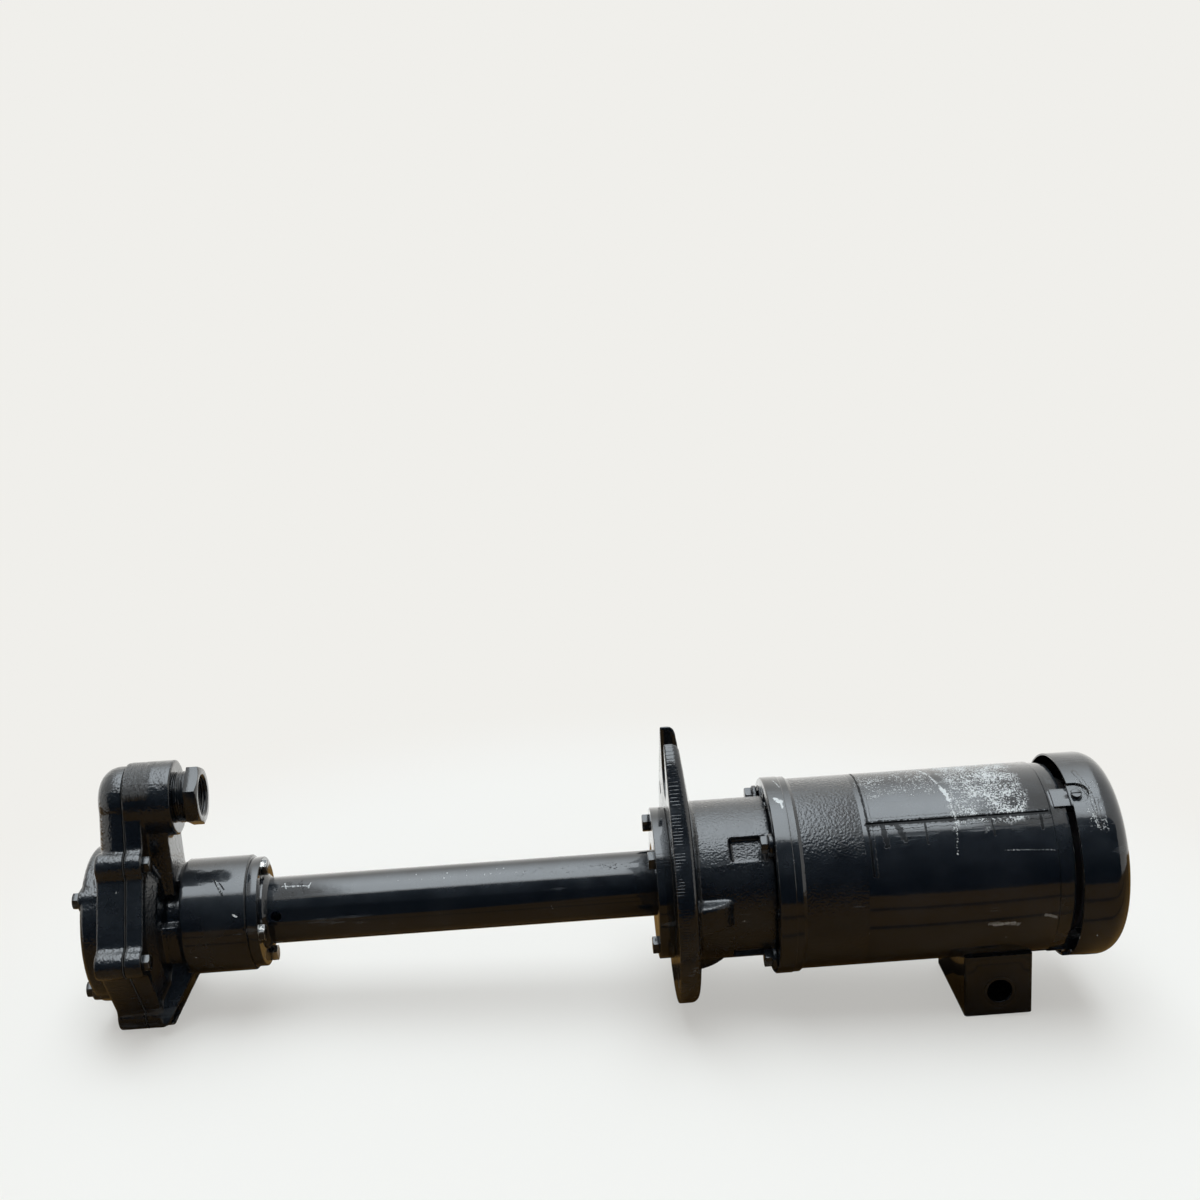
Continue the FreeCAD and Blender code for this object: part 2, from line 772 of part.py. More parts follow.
def discharge_bushing():
    low = boss_face - bushing_engaged
    hex_low = boss_face + bushing_thread_out
    hex_high = hex_low + bushing_hex
    body = rod(bushing_bore_r - slip_gap, low, boss_face, -arm_x)
    body = body.fuse(rod(bushing_bore_r + bushing_thread_step, boss_face, hex_low, -arm_x))
    cone_r = bushing_hex_flats / 2
    cone = Part.makeCone(cone_r + bushing_hex * head_chamfer_slope, cone_r, bushing_hex,
                         vec(-arm_x, 0, hex_low))
    head = hexagon(bushing_hex_flats, hex_low, hex_high, -arm_x).common(cone)
    body = body.fuse(head).cut(rod(bushing_thread_r, low - past, hex_high + past, -arm_x))
    chamfer = Part.makeCone(bushing_thread_r, bushing_thread_r + bushing_edge, bushing_edge,
                            vec(-arm_x, 0, hex_high - bushing_edge))
    save("discharge_bushing", body.cut(chamfer).removeSplitter())


# One vane of the impeller, swept back along an arc, as a face at z 0
def vane_outline():
    start = at(vane_inner_r, 0)
    middle = at(vane_middle_r, vane_turn * vane_middle_share)
    end = at(impeller_r + past, vane_turn)
    centre = Part.Circle(start, middle, end).Center
    inside = []
    outside = []
    for point in (start, middle, end):
        away = (point - centre).normalize() * (vane_thick / 2)
        inside.append(point - away)
        outside.append(point + away)
    edges = [Part.Arc(*inside), Part.LineSegment(inside[2], outside[2]), Part.Arc(*reversed(outside)),
             Part.LineSegment(outside[0], inside[0])]
    return Part.Face(Part.Wire([edge.toShape() for edge in edges]))


# A key on the -Y side, and the room that it needs in the shaft and the hub
def key_block(width, shaft, into, out, low, high, gap=0.0):
    return block(-width / 2 - gap, width / 2 + gap, -shaft - out - gap, -shaft + into, low, high)


def impeller_and_shaft():
    back_high = parting + volute_back - impeller_top_gap
    back_low = back_high - impeller_back
    vane_low = back_low - vane_height
    hub_end = vane_low + nut_recess
    hub_high = back_high + impeller_end_gap
    disc = rod(impeller_r, back_low, back_high)
    hub = turned([(0, hub_high), (impeller_hub_r, hub_high), (impeller_hub_r, back_low),
                  (impeller_hub_r - impeller_hub_taper, hub_end), (0, hub_end)])
    vane = vane_outline().extrude(vec(0, 0, back_high - vane_low))
    vane.translate(vec(0, 0, vane_low))
    vane = vane.common(rod(impeller_r, vane_low - past, back_high))
    body = joined([disc, hub] + around(vane, vane_count))
    key_sizes = (impeller_key_width, impeller_shaft_r, impeller_key_in, impeller_key_out)
    key_low, key_high = hub_end + past, back_high - past
    bore = rod(impeller_shaft_r + running_gap, vane_low, hub_high + past)
    keyway = key_block(*key_sizes, vane_low, hub_high + past, slip_gap)
    save("impeller", without(body, [bore, keyway]).removeSplitter())
    save("impeller_key", key_block(*key_sizes, key_low, key_high))

    washer_low = hub_end - washer_thick
    nut_low = washer_low - nut_height
    shaft_low = nut_low - nut_thread_past
    bearing_top = pump_bearing_z + pump_bearing[2]
    step_top = bearing_top + housing_ring_reach
    shaft_top = coupling_z + hub_length
    journal_top = sleeve_top + journal_past
    shaft = turned([(0, shaft_low), (thread_r - shaft_chamfer, shaft_low),
                    (thread_r, shaft_low + shaft_chamfer), (thread_r, hub_end),
                    (impeller_shaft_r, hub_end), (impeller_shaft_r, hub_high),
                    (journal_r, hub_high), (journal_r, journal_top), (shaft_r, journal_top),
                    (shaft_r, pump_bearing_z), (pump_bearing[0], pump_bearing_z), (pump_bearing[0], step_top),
                    (coupling_shaft_r, step_top), (coupling_shaft_r, shaft_top - shaft_chamfer),
                    (coupling_shaft_r - shaft_chamfer, shaft_top), (0, shaft_top)])
    groove = pipe(pump_bearing[0] + past, pump_bearing[0] - shaft_groove_depth, bearing_top,
                  bearing_top + shaft_ring_groove)
    coupling_key = (coupling_key_width, coupling_shaft_r, coupling_key_in, coupling_key_out)
    key_from = coupling_z + past
    shaft = without(shaft, [groove, key_block(*key_sizes, key_low, key_high, slip_gap),
                            key_block(*coupling_key, key_from, shaft_top + past, slip_gap)])
    save("pump_shaft", shaft)
    save("pump_coupling_key", key_block(*coupling_key, key_from, shaft_top - past))
    save("impeller_washer", pipe(washer_r, thread_r + slip_gap, washer_low, hub_end))
    save("impeller_nut", hexagon(nut_flats, nut_low, washer_low).cut(
        rod(thread_r + running_gap, nut_low - past, washer_low + past)))

    edge = shaft_r + running_gap
    lip_low, lip_high = slinger_z + slinger_lip_z, slinger_z + slinger_lip_z + slinger_lip
    top = slinger_z + slinger_height
    save("shaft_slinger", turned([(edge, slinger_z), (shaft_r + slinger_hub, slinger_z),
                                  (shaft_r + slinger_rim, lip_low), (shaft_r + slinger_rim, lip_high),
                                  (shaft_r + slinger_hub, top), (edge, top)]))
    ring_low, ring_high = bearing_top + snap_play, bearing_top + snap_ring
    ring = pipe(pump_bearing[0] + shaft_ring_reach, pump_bearing[0] - shaft_groove_depth + slip_gap,
                ring_low, ring_high)
    half = shaft_ring_split / 2
    ring = ring.cut(block(-half, half, 0, 2 * shaft_r, ring_low - past, ring_high + past))
    save("shaft_retaining_ring", ring)
    snap = pipe(pump_bearing[1] + housing_groove_depth - slip_gap, pump_bearing[1] - housing_ring_reach,
                ring_low, ring_high)
    half = housing_ring_split / 2
    snap = snap.cut(block(-half, half, 0, register_r, ring_low - past, ring_high + past))
    save("bearing_retaining_ring", snap)


def ball_bearing(prefix, sizes, count, low):
    bore, outer, width = sizes
    pitch = (bore + outer) / 2
    ball_r = (outer - bore) * ball_share
    shoulder = (outer - bore) * shoulder_share
    middle = low + width / 2
    race = Part.makeTorus(pitch, ball_r + race_gap, vec(0, 0, middle), up)
    save(prefix + "_outer_ring", pipe(outer, pitch + shoulder, low, low + width).cut(race))
    save(prefix + "_inner_ring", pipe(pitch - shoulder, bore + running_gap, low, low + width).cut(race))
    save(prefix + "_balls", around(Part.makeSphere(ball_r, vec(0, -pitch, middle)), count))


# A coupling hub with three jaws and its set screw, opening upwards
def jaw_hub(low, bore, key_width, key_out):
    high = low + hub_length
    hub = rounded(rod(coupling_r, low, high), coupling_round, flat_edge_at(low))
    jaw = sector(jaw_inner_r, coupling_r, jaw_angle, high - jaw_root, high + jaw_length)
    body = joined([hub] + around(jaw, jaw_count))
    screw_z = (low + high) / 2
    body = without(body, [rod(bore + running_gap, low - past, high + jaw_length + past),
                          key_block(key_width, bore, bore, key_out, low - past, high + past, slip_gap),
                          Part.makeCylinder(set_screw_r + slip_gap, coupling_r + past, vec(0, 0, screw_z),
                                            vec(0, 1, 0))])
    screw_top = coupling_r - set_screw_sunk
    screw_foot = bore + set_screw_in
    screw = Part.makeCylinder(set_screw_r, screw_top - screw_foot, vec(0, screw_foot, screw_z), vec(0, 1, 0))
    socket = hexagon(set_screw_socket, 0, set_screw_socket_depth + past)
    socket.rotate(origin, vec(1, 0, 0), -90)
    socket.translate(vec(0, screw_top - set_screw_socket_depth, screw_z))
    return body, screw.cut(socket)


def coupling():
    body, screw = jaw_hub(coupling_z, coupling_shaft_r, coupling_key_width, coupling_key_out)
    save("pump_coupling_hub", body)
    save("pump_hub_set_screw", screw)
    # The motor's hub faces down, and its jaws stand between the pump hub's
    body, screw = jaw_hub(coupling_z, motor_shaft_r, motor_key_width, motor_key_out)
    middle = coupling_z + hub_length + jaw_length / 2
    for shape in (body, screw):
        shape.rotate(vec(0, 0, middle), vec(0, 1, 0), 180)
        shape.rotate(origin, up, 180)
    save("motor_coupling_hub", body)
    save("motor_hub_set_screw", screw)
    low = coupling_z + hub_length + jaw_gap
    high = low + jaw_length - 2 * jaw_gap
    side = math.degrees(2 * jaw_gap / jaw_inner_r)
    leg_angle = 180 / jaw_count - jaw_angle - side
    leg = sector(jaw_inner_r - past, coupling_r - jaw_root, leg_angle, low, high)
    spider = pipe(jaw_inner_r - jaw_gap, spider_bore_r, low, high)
    save("coupling_spider", joined([spider] + around(leg, 2 * jaw_count, 90 / jaw_count)))


def drive_end_bell():
    inner_r = shell_r - bell_wall
    spigot_r = shell_bore_r - slip_gap
    seat_r = motor_bearing[1]
    bearing_top = motor_bearing_z + motor_bearing[2]
    hole_r = motor_shaft_r + shaft_hole_gap
    step_z = ring_top - ring_step
    body = turned([
        (hole_r, c_face_z - pilot_depth), (pilot_r, c_face_z - pilot_depth), (pilot_r, c_face_z),
        (ring_r - ring_edge, c_face_z), (ring_r, c_face_z + ring_edge), (ring_r, step_z),
        (ring_r - ring_edge / 2, step_z + ring_edge / 2), (ring_r - ring_edge / 2, ring_top - ring_edge),
        (shell_r, ring_top + bell_fillet), (shell_r, bell_top), (spigot_r, bell_top),
        (spigot_r, bell_top + register_depth), (inner_r, bell_top + register_depth),
        (inner_r - pilot_depth, ring_top + bell_wall), (inner_r - bell_wall, ring_top),
        (seat_r + bearing_hub_wall, ring_top), (seat_r + bearing_hub_wall - bearing_hub_taper, bearing_top),
        (seat_r + running_gap, bearing_top), (seat_r + running_gap, motor_bearing_z - wave_spring),
        (seat_r - pilot_depth, motor_bearing_z - wave_spring), (hole_r, motor_bearing_z - pilot_depth)])
    cutters = holes_on(c_bolt_circle, large_shank + slip_gap, c_face_z - past, c_face_z + thread_depth, 4, 45)
    cutters += holes_on(tie_bolt_circle, screw_shank + hole_gap, c_face_z, bell_top)
    cutters += holes_on(tie_bolt_circle, screw_head_r + past, c_face_z - past, c_face_z + tie_head_sink)
    save("drive_end_bell", without(body, cutters))


def motor_shell():
    shell = pipe(shell_r, shell_bore_r, bell_top, shell_top)
    seam = block(-seam_width / 2, seam_width / 2, -shell_r - past, -shell_r + seam_depth, bell_top + seam_low,
                 shell_top - seam_high)
    save("motor_shell", without(shell, [turned_to(seam, seam_angle), lead_hole()]))


def lead_hole():
    start = shell_bore_r - box_wall
    length = box_reach - box_wall - start
    return Part.makeCylinder(lead_hole_r, length, vec(start, 0, box_low + box_length / 2), vec(1, 0, 0))


def stator():
    low, high = core_low - past, core_top + past
    slot = block(-slot_width / 2, slot_width / 2, -slot_outer_r, -slot_inner_r, low, high)
    mouth = block(-slot_mouth / 2, slot_mouth / 2, -slot_inner_r - past, -stator_bore_r + past, low, high)
    core = pipe(shell_bore_r - running_gap, stator_bore_r, core_low, core_top)
    core = core.cut(Part.makeCompound(around(slot, slot_count) + around(mouth, slot_count)))
    core = core.cut(Part.makeCompound(holes_on(tie_bolt_circle, screw_shank + 2 * hole_gap, low, high)))
    save("stator_core", core)
    inner = slot_inner_r + winding_inset
    half = slot_width / 2 - winding_liner
    coil = block(-half, half, -slot_outer_r + winding_liner, -inner, core_low - past, core_top + past)
    ends = []
    for end_low in (core_low - winding_overhang, core_top + winding_gap):
        end_high = end_low + winding_overhang - winding_gap
        ends.append(turned([(inner, end_low), (slot_outer_r, end_low),
                            (slot_outer_r + winding_flare, end_low + winding_flare),
                            (slot_outer_r + winding_flare / 2, end_high), (inner, end_high)]))
    save("stator_winding", joined(ends + around(coil, slot_count)))


def rotor():
    save("rotor_core", pipe(rotor_r, rotor_shaft_r + running_gap, core_low, core_top))
    rings = []
    for way, face in ((-1, core_low), (1, core_top)):
        ring_end = face + way * end_ring_height
        fin_end = ring_end + way * fin_height
        ring = pipe(rotor_r - past, rotor_r - past - end_ring_depth, min(face, ring_end), max(face, ring_end))
        fin = block(-fin_thick / 2, fin_thick / 2, -rotor_r + fin_outer_inset, -rotor_r + fin_inner_inset,
                    min(face + way * past, fin_end), max(face + way * past, fin_end))
        rings.append(joined([ring] + around(fin, end_ring_fins)))
    save("rotor_end_rings", rings)


def motor_shaft():
    low = c_face_z - motor_shaft_reach
    bearing_top = motor_bearing_z + motor_bearing[2]
    bore = motor_bearing[0]
    step_r = rotor_shaft_r - rotor_shaft_step
    core_from, core_to = core_low - rotor_shaft_past, core_top + rotor_shaft_past
    tip = fan_low + fan_depth - shaft_chamfer
    shaft = turned([(0, low), (motor_shaft_r - shaft_chamfer, low), (motor_shaft_r, low + shaft_chamfer),
                    (motor_shaft_r, motor_bearing_z), (bore, motor_bearing_z), (bore, bearing_top),
                    (step_r, bearing_top), (step_r, core_from), (rotor_shaft_r, core_from),
                    (rotor_shaft_r, core_to), (step_r, core_to), (step_r, fan_bearing_low),
                    (bore, fan_bearing_low), (bore, fan_bearing_high), (motor_shaft_r, fan_bearing_high),
                    (motor_shaft_r, tip), (0, tip)])
    key_low = low + motor_key_start
    key_sizes = (motor_key_width, motor_shaft_r, motor_key_in, motor_key_out)
    key = turned_to(key_block(*key_sizes, key_low, key_low + motor_key_length), 180)
    room = turned_to(key_block(*key_sizes, key_low, key_low + motor_key_length, slip_gap), 180)
    save("motor_shaft", shaft.cut(room))
    save("motor_shaft_key", key)
    ball_bearing("drive_bearing", motor_bearing, motor_ball_count, motor_bearing_z)
    ball_bearing("fan_bearing", motor_bearing, motor_ball_count, fan_bearing_low)
    spring_r = motor_bearing[1] - past / 2
    save("bearing_wave_spring", pipe(spring_r, spring_r - wave_spring_width, fan_bearing_high,
                                     fan_bearing_high + wave_spring))


def fan_end_bell():
    seat_r = motor_bearing[1]
    seat_top = fan_bearing_high + wave_spring
    hub_low = fan_bearing_low - bearing_lip
    hole_r = motor_shaft_r + shaft_hole_gap
    spigot_r = shell_bore_r - slip_gap
    bell_r = shell_r - fan_bell_inset
    web_z = shell_top + tie_head_sink
    body = turned([
        (hole_r, seat_top), (seat_r + running_gap, seat_top), (seat_r + running_gap, hub_low),
        (seat_r + bearing_hub_wall - bearing_hub_taper, hub_low), (seat_r + bearing_hub_wall, web_z),
        (spigot_r - 2 * register_depth, web_z), (spigot_r - register_depth, shell_top - register_depth),
        (spigot_r, shell_top - register_depth), (spigot_r, shell_top), (shell_r, shell_top),
        (bell_r, shell_top + fan_bell_inset), (bell_r - fan_bell_inset, fan_bell_top - bearing_lip),
        (bell_r - fan_bell_shoulder, fan_bell_top), (hole_r, fan_bell_top)])
    outer = fan_cover_r - fan_cover_wall - screw_pocket_sink - slip_gap
    lug_low, lug_high = shell_top + fan_lug_start, fan_screw_z + fan_lug_start + bearing_hub_taper
    lug = block(-fan_lug_half, fan_lug_half, -outer, -fan_r - fan_lug_gap, lug_low, lug_high)
    lug = lug.common(rod(outer, lug_low, lug_high))
    body = joined([body] + [turned_to(lug, angle) for angle in fan_screw_angles])
    cutters = [fan_screw_hole(screw_shank + slip_gap, angle) for angle in fan_screw_angles]
    cutters += holes_on(tie_bolt_circle, screw_shank + slip_gap, shell_top - register_depth - past,
                        fan_bell_top + past)
    save("fan_end_bell", without(body, cutters))
    bolts = []
    for place in [at(tie_bolt_circle, 90 * i) for i in range(4)]:
        seat = c_face_z + tie_head_sink
        head = rod(screw_head_r, seat - screw_head, seat, place.x, place.y)
        stem = rod(screw_shank, seat - past, fan_bell_top - shaft_chamfer, place.x, place.y)
        bolts.append(head.fuse(stem).removeSplitter())
    save("motor_through_bolts", bolts)


def fan_screw_hole(radius, angle):
    return Part.makeCylinder(radius, fan_cover_r - fan_r, at(fan_cover_r + past, angle, fan_screw_z),
                             at(-1, angle))


# The space of a half-round screw pocket pressed into the cover's skirt, open at the rim
def pocket_shape(offset):
    radius = screw_pocket_r + offset
    floor = fan_cover_r - screw_pocket_sink - offset
    deep = 2 * cover_overhang
    tub = Part.makeCylinder(radius, deep, vec(0, -fan_cover_r - cover_overhang, fan_screw_z), vec(0, 1, 0))
    tub = tub.fuse(block(-radius, radius, -fan_cover_r - cover_overhang, -fan_cover_r + cover_overhang,
                         fan_cover_low - past, fan_screw_z))
    return tub.cut(block(-radius - past, radius + past, -floor, 0, fan_cover_low - 2 * past,
                         fan_screw_z + radius + past))


def fan_cover():
    wall = fan_cover_wall
    low, high = fan_cover_low, fan_cover_top
    body = rounded(rod(fan_cover_r, low, high), fan_cover_round, flat_edge_at(high))
    hollow = rounded(rod(fan_cover_r - wall, low - past, high - wall), fan_cover_round - wall,
                     flat_edge_at(high - wall))
    body = without(body, [turned_to(pocket_shape(0.0), angle) for angle in fan_screw_angles])
    hollow = without(hollow, [turned_to(pocket_shape(wall), angle) for angle in fan_screw_angles])
    body = body.cut(hollow)
    slots = []
    for ring in range(grille_ring_count):
        middle = grille_first_r + ring * grille_ring_step
        length = grille_slot_length + ring * grille_length_step
        inner, outer = middle - length / 2, middle + length / 2
        ends = (high - wall - past, high + past)
        slot = block(-grille_slot_r, grille_slot_r, -outer, -inner, *ends)
        slot = slot.fuse(rod(grille_slot_r, *ends, 0, -inner)).fuse(rod(grille_slot_r, *ends, 0, -outer))
        slots.extend(around(slot.removeSplitter(), grille_slot_count + ring * grille_count_step))
    body = body.cut(Part.makeCompound(slots))
    holes = [fan_screw_hole(screw_shank + hole_gap, angle) for angle in fan_screw_angles]
    save("fan_cover", without(body, holes))

    screws = []
    seat = fan_cover_r - screw_pocket_sink
    top = seat + screw_head
    for angle in fan_screw_angles:
        head = Part.makeCylinder(screw_head_r, screw_head, at(top, angle, fan_screw_z), at(-1, angle))
        head = rounded(head, sharp_round, lambda edge: edge_radius(edge) > seat + past and curved(edge))
        stem = Part.makeCylinder(screw_shank, fan_screw_length, at(seat + past / 2, angle, fan_screw_z),
                                 at(-1, angle))
        drive = block(-slot_drive / 2, slot_drive / 2, -top - past, -top + slot_drive_depth,
                      fan_screw_z - screw_head_r - past, fan_screw_z + screw_head_r + past)
        screws.append(head.fuse(stem).cut(turned_to(drive, angle)).removeSplitter())
    save("fan_cover_screws", screws)


def cooling_fan():
    high = fan_low + fan_depth
    hub = pipe(fan_hub_r, motor_shaft_r + running_gap, fan_low, high)
    bend_r = (fan_r + fan_hub_r) * fan_bend_share
    plate = turned([(fan_hub_r - past, fan_low + 2 * fan_plate_hub),
                    (fan_hub_r - past, fan_low + 3 * fan_plate_hub),
                    (bend_r, fan_low + fan_plate_hub), (fan_r - past, fan_low + fan_plate_edge),
                    (fan_r - past, fan_low), (bend_r, fan_low)])
    half = fan_blade_thick / 2
    blade = block(-half, half, -fan_r, -fan_hub_r + past, fan_low + past, high)
    blade = blade.cut(block(-half - past, half + past, -bend_r / 2, -fan_hub_r - fan_plate_hub,
                            high - fan_blade_notch, high + past))
    save("cooling_fan", joined([hub, plate] + around(blade, fan_blades)))


def conduit_box():
    half = box_half_width
    low, high = box_low, box_high
    # The root lies inside the saddle's circle along the whole width
    root_x = math.sqrt(shell_r * shell_r - half * half) + box_edge_round
    body = block(root_x, box_reach, -half, half, low, high)
    body = rounded(body, box_edge_round, lambda edge: edge.BoundBox.XLength > box_height / 4)
    inner = block(root_x - past, box_reach + past, -half + box_wall, half - box_wall, low + box_wall,
                  high - box_wall)
    body = body.cut(inner.cut(rod(saddle_r + box_wall, low - past, high + past)))
    posts = []
    screws = []
    corners = [(y, z) for y in (-half + box_screw_inset, half - box_screw_inset)
               for z in (low + box_screw_inset, high - box_screw_inset)]
    top = box_reach + box_cover_thick
    cover = rounded(block(box_reach, top, -half, half, low, high), box_edge_round,
                    lambda edge: edge.BoundBox.XLength > past)
    for y, z in corners:
        posts.append(Part.makeCylinder(box_post_r, box_reach - root_x, vec(root_x, y, z), vec(1, 0, 0)))
        screw = Part.makeCylinder(screw_head_r, screw_head / 2, vec(top, y, z), vec(1, 0, 0))
        stem = Part.makeCylinder(screw_shank, box_screw_length + past, vec(top - box_screw_length, y, z),
                                 vec(1, 0, 0))
        screws.append(screw.fuse(stem).removeSplitter())
        cover = cover.cut(Part.makeCylinder(screw_shank + hole_gap, box_cover_thick + 2 * past,
                                            vec(box_reach - past, y, z), vec(1, 0, 0)))
    body = joined([body] + posts)
    screw_foot = box_reach - box_screw_length
    cutters = [Part.makeCylinder(screw_shank + slip_gap, box_screw_length, vec(screw_foot, y, z),
                                 vec(1, 0, 0)) for y, z in corners]
    knockout = vec(box_reach - knockout_inset, -half - past, low + knockout_rise)
    ring = Part.makeCylinder(knockout_ring_r, past + knockout_ring_depth, knockout, vec(0, 1, 0))
    ring = ring.cut(Part.makeCylinder(knockout_ring_r - knockout_ring_width, box_wall + past, knockout,
                                      vec(0, 1, 0)))
    cutters += [rod(saddle_r, low - past, high + past), lead_hole(), ring,
                Part.makeCylinder(knockout_r, box_wall + 2 * past, knockout, vec(0, 1, 0))]
    save("conduit_box", without(body, cutters))
    save("conduit_box_cover", cover)
    save("conduit_box_screws", screws)
    pad = pipe(saddle_r - running_gap, shell_r + running_gap, low, high)
    pad = pad.common(block(root_x, box_reach, -half, half, low, high))
    save("conduit_box_gasket", pad.cut(lead_hole()))


def main():
    os.makedirs("parts", exist_ok=True)
    suction_cover()
    volute_casing()
    casing_gasket()
    casing_head()
    discharge_bushing()
    impeller_and_shaft()
    lower_column_flange()
    column_tube()
    upper_column_flange()
    ball_bearing("pump_bearing", pump_bearing, pump_ball_count, pump_bearing_z)
    coupling()
    motor_bracket()
    drive_end_bell()
    motor_shell()
    stator()
    rotor()
    motor_shaft()
    fan_end_bell()
    cooling_fan()
    fan_cover()
    conduit_box()
    print(len(nodes), "nodes,", sum(len(solids) for solids in nodes.values()), "solids")
    for name, solids in nodes.items():
        for solid in solids:
            if not solid.isValid():
                print("not valid:", name)


main()
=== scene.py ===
import json
import math

import bmesh
import bpy
from mathutils import Matrix, Vector, noise

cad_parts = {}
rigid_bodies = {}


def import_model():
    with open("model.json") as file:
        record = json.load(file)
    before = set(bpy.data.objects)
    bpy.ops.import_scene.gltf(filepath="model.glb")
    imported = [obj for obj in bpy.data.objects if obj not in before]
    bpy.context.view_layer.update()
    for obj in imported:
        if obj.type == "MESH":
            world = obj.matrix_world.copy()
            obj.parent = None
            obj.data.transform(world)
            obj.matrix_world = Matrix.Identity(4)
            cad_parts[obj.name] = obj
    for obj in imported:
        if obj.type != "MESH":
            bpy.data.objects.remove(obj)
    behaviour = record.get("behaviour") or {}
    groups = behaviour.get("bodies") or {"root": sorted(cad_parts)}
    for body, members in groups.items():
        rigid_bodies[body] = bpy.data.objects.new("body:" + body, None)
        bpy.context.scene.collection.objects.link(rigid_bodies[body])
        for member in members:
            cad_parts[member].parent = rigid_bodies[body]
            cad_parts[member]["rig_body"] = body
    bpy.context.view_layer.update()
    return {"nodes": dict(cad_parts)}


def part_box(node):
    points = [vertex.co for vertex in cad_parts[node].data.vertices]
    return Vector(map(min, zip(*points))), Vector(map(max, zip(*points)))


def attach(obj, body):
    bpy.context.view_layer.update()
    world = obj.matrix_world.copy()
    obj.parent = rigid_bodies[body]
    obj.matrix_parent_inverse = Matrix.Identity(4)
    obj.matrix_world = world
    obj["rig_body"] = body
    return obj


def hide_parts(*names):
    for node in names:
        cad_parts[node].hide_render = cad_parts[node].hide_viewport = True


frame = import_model()
mm = 0.001
print("frame loaded,", len(frame["nodes"]), "nodes")


# Camera, from the shaft's place in the picture
photoView = {
    "imageSize": 1200,
    "focalPixels": 1600,
    "sensorWidth": 36.0,
    "clipStart": 0.01,
    "footPixel": (585.0, 887.5),     # the point of the shaft that is nearest to the lens
    "footHeight": -74.1 * mm,
    "shaftSlope": 0.0725,            # the shaft rises this much to the right
    "turn": 26.0,                    # degrees from -Y towards -X
    "distance": 1.428,
}


def placeCamera(view):
    half = view["imageSize"] / 2
    focal = view["focalPixels"]
    across, down = view["footPixel"]
    toFoot = Vector(((across - half) / focal, (half - down) / focal, -1)).normalized()
    slope = Vector((1, view["shaftSlope"], 0))
    along = (slope - slope.dot(toFoot) * toFoot).normalized()
    seenAxes = Matrix((along, -toFoot, along.cross(-toFoot))).transposed()
    turn = math.radians(view["turn"])
    outward = Vector((-math.sin(turn), -math.cos(turn), 0))
    up = Vector((0, 0, 1))
    modelAxes = Matrix((up, outward, up.cross(outward))).transposed()
    place = up * view["footHeight"] + outward * view["distance"]
    data = bpy.data.cameras.new("photoCamera")
    data.sensor_width = view["sensorWidth"]
    data.lens = view["sensorWidth"] * focal / view["imageSize"]
    data.clip_start = view["clipStart"]
    camera = bpy.data.objects.new("photoCamera", data)
    camera.matrix_world = Matrix.Translation(place) @ (modelAxes @ seenAxes.transposed()).to_4x4()
    bpy.context.scene.collection.objects.link(camera)
    bpy.context.scene.camera = camera


placeCamera(photoView)
bpy.context.scene.view_settings.view_transform = "Standard"
print("camera placed")


# Small helpers for meshes
meshCare = {
    "weldWithin": 0.01 * mm,
    "flatWithin": 0.5,               # degrees between faces that count as one
    "smoothAngle": 35.0,
}


def linkPiece(name, mesh):
    piece = bpy.data.objects.new(name, mesh)
    bpy.context.scene.collection.objects.link(piece)
    return piece


def meshOf(bm, name, smoothAngle=meshCare["smoothAngle"]):
    mesh = bpy.data.meshes.new(name)
    bm.to_mesh(mesh)
    bm.free()
    mesh.polygons.foreach_set("use_smooth", [True] * len(mesh.polygons))
    mesh.set_sharp_from_angle(angle=math.radians(smoothAngle))
    return mesh


def mergedCopy(node):
    bm = bmesh.new()
    bm.from_mesh(frame["nodes"][node].data)
    bmesh.ops.remove_doubles(bm, verts=bm.verts, dist=meshCare["weldWithin"])
    flat = math.radians(meshCare["flatWithin"])
    bmesh.ops.dissolve_limit(bm, angle_limit=flat, verts=bm.verts, edges=bm.edges)
    return bm


def standIn(piece, node, finish):
    piece.data.materials.clear()
    piece.data.materials.append(finish)
    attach(piece, frame["nodes"][node]["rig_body"])
    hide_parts(node)
    return piece


# Small helpers for node trees
def setSocket(tree, socket, value):
    if isinstance(value, bpy.types.NodeSocket):
        tree.links.new(value, socket)
    else:
        socket.default_value = value


def addNode(tree, kind, values=None, **settings):
    node = tree.nodes.new(kind)
    for name, value in settings.items():
        setattr(node, name, value)
    for name, value in (values or {}).items():
        setSocket(tree, node.inputs[name], value)
    return node


def calc(tree, operation, *values, clamp=False):
    node = addNode(tree, "ShaderNodeMath", dict(enumerate(values)), operation=operation, use_clamp=clamp)
    return node.outputs[0]


def centred(tree, value, gain):
    return calc(tree, "MULTIPLY", calc(tree, "SUBTRACT", value, 0.5), gain)


def cutAbove(tree, level, start, sharpness):
    return calc(tree, "MULTIPLY", calc(tree, "SUBTRACT", level, start), sharpness, clamp=True)


def remap(tree, value, low, high, toLow=0.0, toHigh=1.0):
    values = {"Value": value, "From Min": low, "From Max": high, "To Min": toLow, "To Max": toHigh}
    node = addNode(tree, "ShaderNodeMapRange", values, clamp=True, interpolation_type="SMOOTHSTEP")
    return node.outputs["Result"]


def cloudNoise(tree, place, scale, detail, roughness=0.5):
    values = {"Vector": place, "Scale": scale, "Detail": detail, "Roughness": roughness}
    return addNode(tree, "ShaderNodeTexNoise", values).outputs[0]


def stretched(tree, place, stretch):
    return addNode(tree, "ShaderNodeVectorMath", {0: place, 1: stretch}, operation="MULTIPLY").outputs[0]


